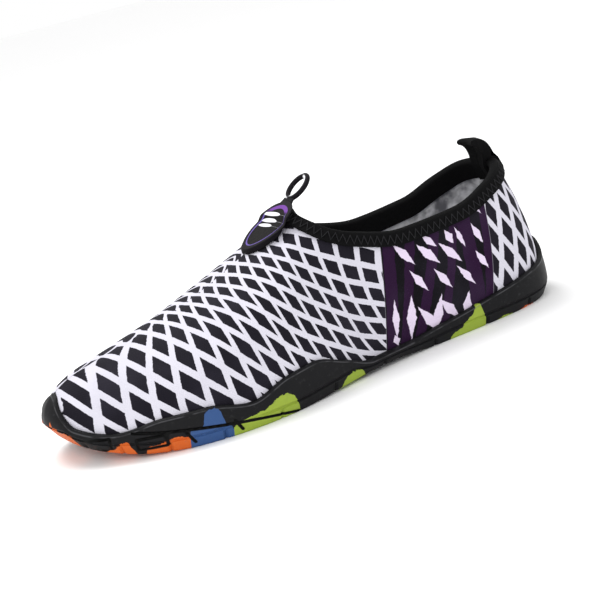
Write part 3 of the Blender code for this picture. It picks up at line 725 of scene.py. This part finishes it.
def makeOutsole(material):
    shares, notches, halfNotch = soleShares()
    side, share = loopOf(shares)
    notched = np.abs(share[:, None] - notches).min(axis=1) < 1e-6
    cut = np.where(notched, sole["notchDepth"], 0.0)
    flat, _ = edge(side, share)
    bottom = underside(flat[:, 0])
    top = sideTop(share)
    rise = np.minimum(sole["treadEdge"], 0.45 * (top - bottom))
    tuck = sideChart.at("tuck", share)
    floor = floorHeight(surface(side, share, 0.0)[:, 0])
    border = tuck + sole["treadBorder"]
    groove = np.minimum(sole["grooveDepth"], 0.2 * rise)
    corner, lift = sole["corner"], sole["borderLift"]

    def carved(height):
        return sole["cutDepth"] * engraved(share, height)

    rows = [
        treadRow(side, share, border, sole["treadDepth"]),
        treadRow(side, share, border, lift),
        treadRow(side, share, border - lift, 0.0),
        treadRow(side, share, tuck + cut + corner, 0.0),
        treadRow(side, share, tuck + cut + 0.3 * corner, 0.3 * corner),
    ]
    for part in np.linspace(0.12, 1.0, sole["treadRows"]):
        height = part * rise
        fade = np.clip((1 - part) / 0.12, 0, 1)
        inset = tuck * (1 - 0.85 * part) + cut * fade * (1 - 0.2 * part)
        rows.append(treadRow(side, share, inset + carved(bottom + height), height))
    rows.append(treadRow(side, share, groove + 0.1 * tuck, rise + 0.6 * groove))
    rows.append(treadRow(side, share, groove + 0.1 * tuck, rise + 1.2 * groove))
    start = bottom + rise + 2 * groove
    span = top - start
    for part in np.linspace(0.0, 1.0, sole["wallRows"]) ** 0.9:
        height = start + span * part
        grown = np.clip((height - floor) / (top - floor), 0, 1)
        wall = last["sideWall"] + (last["lipWall"] - last["sideWall"]) * grown
        bead = sole["bead"] * np.exp(-((top - height - sole["beadDrop"]) / sole["beadWidth"]) ** 2)
        rounding = 0.55 * last["lipWall"] * np.clip((part - 0.96) / 0.04, 0, 1) ** 2
        out = last["sideGap"] + wall + bead - rounding - carved(height)
        rows.append(sideRow(side, share, height, out))
    for part in np.linspace(1.0, 0.0, sole["insideRows"]):
        rows.append(sideRow(side, share, floor + (top - floor) * part, last["sideGap"]))
    rows = np.array(rows)
    along = np.broadcast_to(share, rows.shape[:2])
    below = 1000 * (top - rows[..., 2])
    piece = Piece("rubber_sole")
    piece.grid(rows, soleCharts(along, rows[..., 2], below))
    fillBed(piece, rows[-1], shares, floorHeight, None)
    bed = fillBed(piece, rows[0], shares, lambda x: underside(x) + sole["treadDepth"], sole["lugGap"])
    addLugs(piece, bed, shares, notches, halfNotch)
    return piece.finish([material], "outsole", ["outsole"], sharp=38)


def fillBed(piece, loop, shares, heightOf, gap):
    # rungs from side to side inside a loop; a gap splits each lane into a strip between grooves
    left, right = halves(loop)
    length = np.linalg.norm(left - right, axis=1)
    if gap is None:
        t = np.tile(np.linspace(0, 1, sole["floorLanes"] + 1), (len(length), 1))
        swing = np.zeros(t.shape)
    else:
        lanes = sole["lugLanes"]
        part = np.minimum(0.5 * gap * lanes / np.maximum(length, gap), sole["widestGroove"])
        stops = [(lane + side) / lanes for lane in range(lanes) for side in (part, 1 - part)]
        t = np.stack([0 * length, *stops, 0 * length + 1], 1)
        wave = sole["treadWave"] * np.minimum(1, length / sole["waveRung"])[:, None]
        swing = wave * np.cos(math.pi * lanes * t)
    bed = left[:, None] * (1 - t[..., None]) + right[:, None] * t[..., None]
    bed[:, 1:-1, 0] += swing[:, 1:-1]
    bed[:, 1:-1, 2] = heightOf(bed[:, 1:-1, 0])
    if gap is None:
        along = np.broadcast_to(shares[:, None], bed.shape[:2])
        piece.grid(bed, soleCharts(along, floorPaint), closed=False)
    return bed


def addLugs(piece, bed, shares, notches, halfNotch):
    # strips of the bed between the notches stand down to the ground as lugs
    middles = 0.5 * (shares[1:] + shares[:-1])
    onLug = ((middles > notches[0]) & (middles < notches[-1])
             & (np.abs(middles[:, None] - notches).min(axis=1) > halfNotch))
    low = bed.copy()
    low[..., 2] = underside(low[..., 0])
    along = np.broadcast_to(shares[:, None], bed.shape[:2])

    def add(grid, part):
        piece.grid(grid, soleCharts(part, lugPaint), closed=False)

    ends = np.flatnonzero(np.diff(np.r_[0, onLug.astype(int), 0]))
    runs = list(zip(ends[::2], ends[1::2]))
    for strip in range(bed.shape[1] - 1):
        columns = slice(strip, strip + 2)
        if strip % 2 == 0:
            add(bed[:, columns], along[:, columns])
            continue
        done = 0
        for start, stop in runs:
            add(bed[done:start + 1, columns], along[done:start + 1, columns])
            lug = slice(start, stop + 1)
            add(low[lug, columns], along[lug, columns])
            sides = [(lug, strip), (lug, strip + 1), (start, columns), (stop, columns)]
            for at in sides:
                add(np.stack([bed[at], low[at]]), np.stack([along[at]] * 2))
            done = stop
        add(bed[done:, columns], along[done:, columns])


# Collar binding: tape folded over the collar's edge, with a flatlock zigzag

binding = dict(
    wall=0.0011, gap=0.0006, depth=0.0060, innerDepth=0.0090, steps=12,
    stitchRadius=0.00042, stitchPitch=0.0018, stitchFrom=0.0009, stitchTo=0.0050,
)


def rimFrames(side, share):
    up = collarUp(side, share)
    rim = surface(side, share, up)
    run = np.roll(rim, -1, axis=0) - np.roll(rim, 1, axis=0)
    normal = facing(side, share, up)
    down = np.cross(normal, run)
    return up, rim, unit(down), normal


def collarShares():
    shares = denseShares()
    return shares[shares < last["throat"] + 1e-9]


def legRows(side, stops, order, out):
    # rows of a folded tape, a given distance out of the knit
    return [skin(side, *stops[i], out) for i in order]


def tapeChart(rows, along):
    # metres along a tape and around its section
    around = np.linalg.norm(np.diff(rows, axis=0), axis=2).mean(axis=1)
    return pair(along, np.r_[0, np.cumsum(around)][:, None])


def makeBinding(material):
    side, share = loopOf(collarShares())
    up, rim, down, normal = rimFrames(side, share)
    steps = binding["steps"]
    stops = walk(side, share, up, down, binding["innerDepth"], steps)
    outer = binding["gap"] + binding["wall"]
    inner = -last["upperWall"] - binding["gap"]
    outerSteps = round(steps * binding["depth"] / binding["innerDepth"])

    rows = legRows(side, stops, range(outerSteps, 0, -1), outer)
    middle = 0.5 * (outer + inner - binding["wall"])
    reach = 0.5 * (outer - inner + binding["wall"])
    for turn in np.linspace(0, math.pi, 11):
        rows.append(rim + normal * (middle + reach * math.cos(turn)) - down * outer * math.sin(turn))
    rows += legRows(side, stops, range(1, steps + 1), inner - binding["wall"])
    rows += legRows(side, stops, range(steps, 0, -3), inner)
    rows += [rim + normal * out - down * binding["gap"] for out in (inner, binding["gap"])]
    rows += legRows(side, stops, range(2, outerSteps + 1, 2), binding["gap"])
    rows = np.array(rows + rows[:1])
    lay = tapeChart(rows, lengths(rim))
    piece = Piece("collar_tape")
    piece.grid(rows, dict(lay=lay))
    tape = piece.finish([material], "collar_binding", ["collar_binding"])
    return tape


def collarLine(depth, out):
    # a closed line along the collar, a given distance below its edge
    side, share = loopOf(collarShares())
    up, _, down, _ = rimFrames(side, share)
    stops = walk(side, share, up, down, depth, max(2, round(depth / 0.0008)))
    line = skin(side, *stops[-1], out)
    return np.vstack([line, line[:1]])


def makeStitches(material):
    out = binding["gap"] + binding["wall"] + 0.3 * binding["stitchRadius"]
    lines = [collarLine(binding[key], out) for key in ("stitchFrom", "stitchTo")]
    run = lengths(lines[0])
    count = int(run[-1] / binding["stitchPitch"]) // 2 * 2
    at = np.linspace(0, run[-1], count + 1)
    high, low = (np.stack([np.interp(at, run, column) for column in line.T], 1) for line in lines)
    zigzag = np.where((np.arange(len(at)) % 2 == 0)[:, None], high, low)
    piece = thread("collar_stitches", zigzag, binding["stitchRadius"], 5)
    return piece.finish([material], "collar_binding", sharp=60)


# Heel pull: folded tape

heelTab = dict(
    width=0.0130, wall=0.0016, leg=0.0090, rise=0.0130, reach=0.0107, across=25, steps=8,
    endWall=0.15, endGrow=0.3, search=0.08,
)
heelCurl = Chart(
    "step forward rise",
    (0, -0.16, 0.28), (1, -0.02, 0.58), (2, 0.20, 0.84), (3, 0.46, 0.97), (4, 0.74, 1.01),
    (5, 0.95, 0.98), (6, 1.00, 0.90), (7, 0.94, 0.81), (8, 0.76, 0.73), (9, 0.60, 0.58),
    (10, 0.50, 0.36),
)


def makeHeelTab(material):
    half = 0.5 * heelTab["width"]
    fine = np.linspace(-heelTab["search"], heelTab["search"], 161)
    side = np.ones_like(fine)
    rim = surface(side, fine, collarUp(side, np.abs(fine)))
    run = lengths(rim)
    spread = np.sin(0.5 * math.pi * np.linspace(-1, 1, heelTab["across"]))
    share = np.interp(run[len(fine) // 2] + half * spread, run, fine)
    side = np.ones_like(share)
    up = upAtHeight(side, share, collarChart.at("height", np.abs(share)) * last["heelHeight"])
    rim = surface(side, share, up)
    normal = facing(side, share, up)
    down = unit(np.cross(normal, np.gradient(rim, axis=0)))
    steps = heelTab["steps"]
    stops = walk(side, share, up, down, heelTab["leg"], steps)
    near = binding["gap"] + binding["wall"] + last["fitGap"]
    far = -last["upperWall"] - binding["gap"] - binding["wall"] - last["fitGap"]

    rows = []
    for i in range(steps, -1, -1):
        wall = heelTab["wall"] * min(1, heelTab["endWall"] + heelTab["endGrow"] * (steps - i))
        rows.append(skin(side, *stops[i], near + wall))
    for at in np.linspace(0, 10, 41):
        rows.append(rim + np.array((float(heelCurl.at("forward", at)) * heelTab["reach"], 0,
                                    float(heelCurl.at("rise", at)) * heelTab["rise"])))
    rows += legRows(side, stops, range(0, steps + 1), far - heelTab["wall"])
    rows += legRows(side, stops, range(steps, -1, -2), far)
    rows += [rim + normal * out - down * near for out in (far, near)]
    rows += legRows(side, stops, range(0, steps + 1, 2), near)
    rows = np.array(rows + rows[:1])
    piece = Piece("heel_pull")
    piece.grid(rows, dict(lay=tapeChart(rows, half * spread)), closed=False)
    for end in (0, -1):
        capEnd(piece, rows[:-1, end])
    tab = piece.finish([material], "heel_tab", ["heel_tab"])
    return tab


def capEnd(piece, ring):
    # close the tape's side edge: its outer points are joined to the nearest inner ones
    half = len(ring) // 2
    at = np.linspace(0, 1, 60)
    sides = []
    for line in (ring[:half + 1], np.vstack([ring[half:], ring[:1]])[::-1]):
        run = lengths(line) / lengths(line)[-1]
        sides.append(np.stack([np.interp(at, run, column) for column in line.T], 1))
    piece.grid(np.stack(sides), closed=False)


# Throat pull: moulded plate on the instep with a finger ring

pull = dict(
    length=0.0330, width=0.0300, wall=0.0026, overhang=0.0015, step=0.0040, clear=0.0010,
    ringLength=0.0165, ringWidth=0.0150, ringBand=0.0030, ringThickness=0.0026, ringTilt=7,
    neck=0.0010, neckWidth=0.0090, neckFlare=0.0050, neckRoot=0.0035, neckThickness=0.0022,
    egg=(0.93, 0.26), turns=160, rim=0.80, recess=0.0002, bevel=0.0007,
    flat=0.94, flatEdge=0.82, flatUnder=0.62, flatFrom=0.0080, flatTo=0.0150, shiftY=0.0024,
    slots=((0.0074, 0.0080), (0.0106, 0.0070), (0.0138, 0.0062)),  # from the throat, half length
    slotShift=-0.0036, slotHalf=0.0011, slotEdge=0.0004, slotFill=0.8,
)


def instep(u, v, out):
    # points on the instep: u from the throat along the centre line, v across it
    fine = np.linspace(last["throat"], 1, 161)
    line, slope = centreLine(fine)
    share = np.interp(np.maximum(u, 0), lengths(line), fine)
    side = np.where(v >= 0, 1.0, -1.0)
    sections = lengths(surface(side[:, None], share[:, None], fineUp))
    up = np.array([np.interp(s[-1] - abs(w), s, fineUp) for s, w in zip(sections, v)])
    ahead = np.array((1.0, 0.0, slope[0]))
    return skin(side, share, up, out) + np.outer(np.minimum(u, 0), ahead / np.linalg.norm(ahead))


def makePull(material):
    turns = np.linspace(0, 2 * math.pi, pull["turns"], endpoint=False)
    middle = 0.5 * pull["length"] - pull["overhang"]
    cover = binding["depth"] + pull["clear"]
    wide, narrow = pull["egg"]
    piece = Piece("throat_pull")
    rows, lay = [], []

    def plateRow(part, lift, inset=0.0, top=1.0):
        u = middle + (0.5 * pull["length"] - inset) * part * np.cos(turns)
        v = (0.5 * pull["width"] - inset) * part * np.sin(turns) * (wide - narrow * np.cos(turns))
        step = np.clip((u - cover) / pull["step"], 0, 1)
        seat = last["fitGap"] + (binding["wall"] + binding["gap"]) * (1 - step * step * (3 - 2 * step))
        if part < pull["rim"]:
            for place, half in pull["slots"]:
                waist = np.sqrt(np.maximum(1 - ((v - pull["slotShift"]) / half) ** 2, 0))
                reach = np.abs(u - place) - pull["slotHalf"] * waist
                fill = np.clip(0.5 - reach / pull["slotEdge"], 0, 1)
                lift = lift + pull["slotFill"] * pull["recess"] * fill
        row = instep(u, v, seat + lift)
        ridge = 0.5 * (instep(u, 0 * v, seat + lift) + instep(u, 0 * v - 1e-9, seat + lift))
        ridge[:, 1] += v + pull["shiftY"]
        away = np.clip((np.abs(v) - pull["flatFrom"]) / (pull["flatTo"] - pull["flatFrom"]), 0, 1)
        level = top * (pull["flat"] + (pull["flatEdge"] - pull["flat"]) * away * away * (3 - 2 * away))
        rows.append(row + (ridge - row) * level[:, None])
        lay.append(pair(u, v))

    wall, bevel = pull["wall"], pull["bevel"]
    for part in np.linspace(0, 1, 8):
        plateRow(part, 0.0, top=pull["flatUnder"])
    for turn in np.linspace(0, 0.5 * math.pi, 6):
        plateRow(1.0, wall - bevel * (1 - math.sin(turn)), bevel * (1 - math.cos(turn)),
                 min(1, 0.85 + 0.3 * turn))
    for beyond, sunk in ((0.03, 0.0), (0.01, 0.1), (-0.01, 1.0)):
        plateRow(pull["rim"] + beyond, wall - sunk * pull["recess"], bevel)
    for part in np.linspace(pull["rim"] - 0.03, 0, 44):
        plateRow(part, wall - pull["recess"], bevel)
    rows = np.array(rows)
    piece.grid(rows, dict(lay=np.array(lay)))
    _, slope = centreLine(np.array([last["throat"]]))
    angle = math.atan(-slope[0]) + math.radians(pull["ringTilt"])
    back = np.array((-math.cos(angle), 0.0, math.sin(angle)))
    normal = np.array((math.sin(angle), 0.0, math.cos(angle)))
    seat = last["fitGap"] + binding["gap"] + binding["wall"] + 0.5 * wall
    start = instep(np.array([-pull["overhang"]]), np.array([0.0]), np.array([seat]))[0]
    centre = start + back * (pull["neck"] + 0.5 * pull["ringLength"])
    band = pull["ringBand"]
    # keyFacing: how far the ring's face turns to the -Y side, toward the key light behind, less 2 to
    # mark the ring; it places the ring's painted highlight
    rows, keyFacing = [], []
    for corner in np.linspace(0, 2 * math.pi, 21):
        keyFacing.append(-math.cos(corner) * np.sin(turns) - 2)
        out, lift = 0.5 * band * math.cos(corner), 0.5 * pull["ringThickness"] * math.sin(corner)
        along = (0.5 * (pull["ringLength"] - band) + out) * np.cos(turns)
        across = (0.5 * (pull["ringWidth"] - band) + out) * np.sin(turns)
        rows.append(centre + np.outer(along, back) + np.outer(across, (0, 1, 0)) + lift * normal)
    rows = np.array(rows)
    piece.grid(rows, dict(lay=pair(-1.0, keyFacing)))
    rows = []
    bar = np.linspace(0, 2 * math.pi, 24, endpoint=False)
    root = pull["neckRoot"]
    for along, flare in ((-root, 1.0), (-0.3 * root, 0.55), (0.3 * root, 0.15),
                         (pull["neck"] + 0.5 * band, 0.0)):
        across = 0.5 * (pull["neckWidth"] + pull["neckFlare"] * flare) * np.cos(bar)
        lift = 0.5 * pull["neckThickness"] * np.sin(bar)
        rows.append(start + back * along + np.outer(across, (0, 1, 0)) + np.outer(lift, normal))
    caps = [row.mean(axis=0) + 0 * row for row in (rows[0], rows[-1])]
    rows = np.array([caps[0], *rows, caps[1]])
    piece.grid(rows, dict(lay=pair(np.full(rows.shape[:2], -1.0), -3.0)))
    return piece.finish([material], "throat_tab", ["throat_tab"])


# Materials

knit = dict(
    white=rgb(208, 206, 217), black=rgb(24, 22, 30), purple=rgb(38, 14, 45), coal=rgb(10, 8, 13),
    cell=rgb(222, 208, 230), shade=rgb(96, 92, 110), lineP=0.26, lineQ=0.31, lineToe=0.02,
    heelPitch=0.0050, heelRise=0.0123, heelFrom=0.030, heelUp=0.0597,
    # the purple zone's borders lean: metres along the edge, and their lean per metre up the side
    heelEnd=(0.0448, 0.0454), heelLean=0.29, leanFrom=0.059,
    frontStart=(0.1218, 0.1223), frontLean=0.2, bandsMiddle=28.0, ribs=7400.0,
)
# White cells of the purple zone: along the edge, up the side, half length, half width in mm, lean
whiteCells = (
    (100.8, 42.4, 7.8, 2.4, 53), (88.2, 38.9, 7.8, 2.4, 53), (76.4, 36.0, 7.8, 2.4, 53),
    (85.8, 44.9, 5.0, 1.8, 53), (74.4, 43.4, 4.0, 2.4, 69), (68.5, 41.5, 5.7, 1.6, 78),
    (58.2, 40.3, 5.7, 1.9, 77), (53.5, 53.1, 4.8, 1.7, 61), (45.6, 54.7, 4.0, 1.2, 55),
    (60.5, 27.0, 5.6, 1.8, 70), (96.5, 28.0, 7.0, 2.0, 60), (84.0, 25.0, 7.0, 2.0, 60),
    (71.5, 22.5, 7.0, 2.0, 60), (113.5, 13.0, 9.5, 2.1, 98), (115.5, 3.0, 2.8, 2.0, 80),
    (105.0, 11.5, 11.0, 2.8, 104), (96.0, 8.0, 9.0, 2.6, 60), (91.0, 9.0, 10.0, 2.6, 115),
    (84.5, 9.5, 7.5, 2.5, 58), (75.0, 8.0, 7.0, 2.4, 110),
)
# Its purple bands: along the edge at mid height, lean of the band, half width in mm
purpleBands = (
    (112.2, -0.215, 3.4), (102.0, -0.32, 2.8), (90.5, -0.45, 2.9), (78.5, -0.42, 2.4),
    (66.0, -0.125, 4.2), (55.8, -0.29, 2.8),
)


def knitPrint():
    g = Graph("knit_print", Roughness=0.85, Specular_IOR_Level=0.1, Sheen_Weight=0.02,
              Sheen_Roughness=0.5)
    share, run = g.chart("lay")
    p, q = g.chart("net")
    where = g.place()
    ragged = (g.noise(where, 900, 2) - 0.5) * 0.05
    fine = (g.noise(where, 260, 2) - 0.5) * 0.05
    along = share * last["halfEdge"]

    def cell(count):
        # how far a point is from the middle of its cell, as a share of the cell
        return abs(g.maths("FRACT", count + 0.5) - 0.5) + ragged + fine

    toeward = g.step(share, 0.52, 0.85, knit["lineToe"])
    front = 1.0
    for count, line in ((p, knit["lineP"]), (q, knit["lineQ"])):
        inside = 0.5 - 0.5 * line - 0.5 * toeward
        front = front * g.fall(cell(count) - inside, -0.01, 0.01)
    difference = (along - knit["heelFrom"]) / knit["heelPitch"]
    total = (knit["heelUp"] - run) / knit["heelRise"]
    heel = 1.0
    for count in (total + difference, total - difference):
        heel = heel * g.fall(cell(count * 0.5), 0.33, 0.35)
    x = along * 1000.0 + (g.noise(where, 420, 2) - 0.5) * 1.4
    y = run * 1000.0 + (g.noise(where, 380, 2) - 0.5) * 1.0
    cells = 0.0
    for a, v, long, wide, lean in whiteCells:
        c, s = turned(lean)
        ahead = abs(x * c + y * s - (a * c + v * s))
        aside = abs(y * c - x * s - (v * c - a * s))
        cells = g.most(g.fall(ahead / long + aside / wide, 0.94, 1.06), cells)
    bands = 0.0
    for a, lean, half in purpleBands:
        off = abs(x - y * lean - (a - knit["bandsMiddle"] * lean))
        bands = g.most(g.fall(off, half - 0.15, half + 0.15), bands)
    zone = g.blend(bands, knit["coal"], knit["purple"])
    zone = g.blend(cells, zone, knit["cell"])
    behind = g.fall(along + (run - knit["leanFrom"]) * knit["heelLean"], *knit["heelEnd"])
    ahead = g.step(along + run * knit["frontLean"], *knit["frontStart"])
    base = g.blend(front * ahead + heel * behind, knit["white"], knit["black"])
    base = g.blend(1.0 - ahead - behind, base, zone)
    shade = g.step(g.noise(where, 45, 3), 0.35, 0.85, 0.10)
    g.colour(g.blend(shade, base, knit["shade"]))
    ribs = g.sine(run * knit["ribs"]) * 0.5 + g.sine(along * knit["ribs"]) * 0.5
    g.bump(ribs + g.noise(where, 1500, 2) * 1.2, 0.00006, 0.8)
    return g.material


def liningCloth():
    g = Graph("lining_cloth", Roughness=0.92, Sheen_Weight=0.1)
    where = g.place()
    blotch = g.step(g.noise(where, 95, 3), 0.36, 0.62)
    g.colour(g.blend(blotch, rgb(104, 104, 110), rgb(232, 232, 236)))
    g.bump(g.noise(where, 2500, 2), 0.00008, 0.7)
    return g.material


def blackRubber():
    g = Graph("moulded_rubber", Specular_IOR_Level=0.12)
    lime, blue = g.chart("paint")
    orange, cut = g.chart("more")
    _, below = g.chart("lay")
    where = g.place()
    wander = (g.noise(where, 240, 4, 0.7) - 0.5) * 4.0
    base = rgb(19, 19, 21)
    for reach, colour in ((orange, (198, 94, 38)), (blue, (52, 80, 127)), (lime, (143, 163, 60))):
        base = g.blend(g.step(reach + wander, -0.15, 0.15), base, rgb(*colour))
    # Painted highlight: a thin grey line on the bead 1 mm below the wall's top edge, broken up by noise
    beadHighlight = g.fall(abs(below - 1.0), 0.15, 0.4, 0.4) * g.step(g.noise(where, 160, 2), 0.3, 0.6)
    base = g.blend(beadHighlight, base, rgb(96, 96, 100))
    scuff = g.step(g.noise(where, 420, 4, 0.65), 0.56, 0.74)
    base = g.blend(scuff * 0.12, base, rgb(92, 92, 94))
    # Inside the moulded cuts: unpainted rubber where they cross the coloured patches, and painted shade
    # that makes them darker than the rubber itself
    g.colour(g.blend(g.step(cut, 0.15, 0.45), base, rgb(0, 0, 0)))
    g.rough(0.42 + g.noise(where, 300, 3) * 0.16)
    g.bump(g.noise(where, 1800, 3), 0.00005, 0.6)
    return g.material


def blackTape(name, tone):
    g = Graph(name, Roughness=0.9, Specular_IOR_Level=0.1)
    along, across = g.chart("lay")
    where = g.place()
    weave = g.sine(along * 9000.0) + g.sine(across * 9000.0)
    g.colour(g.blend(g.noise(where, 800, 2), rgb(*tone), rgb(*(t + 9 for t in tone))))
    g.bump(weave + g.noise(where, 2200, 2), 0.00007, 0.8)
    return g.material


def footbed():
    g = Graph("footbed_cloth", Roughness=0.95)
    where = g.place()
    g.colour(g.blend(g.noise(where, 500, 3), rgb(44, 44, 48), rgb(72, 72, 76)))
    g.bump(g.noise(where, 1500, 2), 0.0001, 0.7)
    return g.material


def plateRubber():
    g = Graph("plate_rubber", Specular_IOR_Level=0.08)
    u, v = g.chart("lay")
    where = g.place()
    middle, reach = 0.5 * pull["length"] - pull["overhang"], 0.5 * pull["length"]
    wide, narrow = pull["egg"]
    forward = (u - middle) / reach
    across = v / (0.5 * pull["width"]) / (wide - narrow * forward)
    ring = g.maths("SQRT", forward * forward + across * across)
    field = g.fall(ring, pull["rim"] - 0.02, pull["rim"] + 0.01)
    slots = 0.0
    for place, half in pull["slots"]:
        aside = (v - pull["slotShift"]) / half
        waist = g.maths("SQRT", g.most(1.0 - aside * aside, 0.0)) * pull["slotHalf"]
        slots = g.most(g.fall(abs(u - place) - waist, -0.0001, 0.0001), slots)
    line = g.fall(abs(ring - pull["rim"] + 0.02), 0.018, 0.032) * g.step(u, 0.0055, 0.0075)
    arc = g.fall(abs(ring - 0.76), 0.06, 0.075) * g.fall(u, 0.0045, 0.0065)
    base = g.blend(field, rgb(20, 18, 22), rgb(11, 8, 8))
    base = g.blend(line, base, rgb(108, 90, 165))
    base = g.blend(arc, base, rgb(112, 66, 150))
    base = g.blend(slots * field, base, rgb(232, 232, 236))
    # The ring is dark rubber with a painted white highlight where its face turns toward the key light
    # behind the shoe
    onRing = g.fall(u, -0.9, -0.5)
    ringHighlight = g.step(v, -2.02, -1.9)
    g.colour(g.blend(onRing, base, g.blend(ringHighlight, rgb(20, 18, 22), rgb(225, 225, 228))))
    g.rough(0.55 + g.noise(where, 500, 2) * 0.14)
    speckle = g.step(g.noise(where, 1100, 2), 0.55, 0.7) * field
    g.bump(g.noise(where, 1600, 2) + speckle * 1.5, 0.00004, 0.7)
    return g.material


makeUpper(knitPrint(), liningCloth())
makeInsole(footbed())
makeOutsole(blackRubber())
tapeCloth = blackTape("collar_cloth", (6, 6, 7))
makeBinding(tapeCloth)
# The thread is black like the tape; its lighter grey is a painted highlight on the stitches' relief
makeStitches(blackTape("stitch_thread_highlight", (38, 38, 40)))
makeHeelTab(tapeCloth)
makePull(plateRubber())
print("pieces made")

# Floor, light and camera

floorMesh = bpy.data.meshes.new("floor")
floorMesh.from_pydata([(-3, -3, 0), (3, -3, 0), (3, 3, 0), (-3, 3, 0)], [], [(0, 1, 2, 3)])
ground = Graph("ground", Roughness=0.9)
ground.colour((0.97, 0.97, 0.97))
floorMesh.materials.append(ground.material)
addObject("floor", floorMesh)

world = bpy.data.worlds.new("studio")
bpy.context.scene.world = world
bpy.context.scene.view_settings.view_transform = "Standard"
world.use_nodes = True
backdrop = world.node_tree.nodes["Background"]
backdrop.inputs["Color"].default_value = (1, 1, 1, 1)
backdrop.inputs["Strength"].default_value = 1.0


def areaLight(name, place, aim, size, power):
    light = bpy.data.lights.new(name, "AREA")
    light.shape = "DISK"
    light.size = size
    light.energy = power
    lamp = addObject(name, light)
    lamp.location = place
    lamp.rotation_euler = (Vector(aim) - Vector(place)).to_track_quat("-Z", "Y").to_euler()


areaLight("key", (0.15, -0.5, 1.1), (0, 0, 0.03), 0.7, 8.0)
areaLight("front", (0.8, 0.9, 0.7), (0.05, 0, 0.03), 0.8, 3.5)

view = dict(  # angles in degrees, lens in mm
    azimuth=26.275, elevation=14.727, roll=13.404, distance=0.823, lens=101.7,
    shiftX=-0.0059, shiftY=0.0194, target=(0.0001, 0.0002, 0.030),
)


def makeCamera():
    a, e, roll = (math.radians(view[key]) for key in ("azimuth", "elevation", "roll"))
    back = Vector((math.sin(a) * math.cos(e), math.cos(a) * math.cos(e), math.sin(e)))
    right = Vector((-math.cos(a), math.sin(a), 0))
    over = back.cross(right)
    rolledRight = right * math.cos(roll) - over * math.sin(roll)
    rolledUp = right * math.sin(roll) + over * math.cos(roll)
    data = bpy.data.cameras.new("photo_view")
    data.lens, data.sensor_width = view["lens"], 36
    data.shift_x, data.shift_y = view["shiftX"], view["shiftY"]
    camera = addObject("photo_view", data)
    turn = Matrix((rolledRight, rolledUp, back)).transposed().to_4x4()
    camera.matrix_world = Matrix.Translation(Vector(view["target"]) + back * view["distance"]) @ turn
    bpy.context.scene.camera = camera


makeCamera()

print("done")
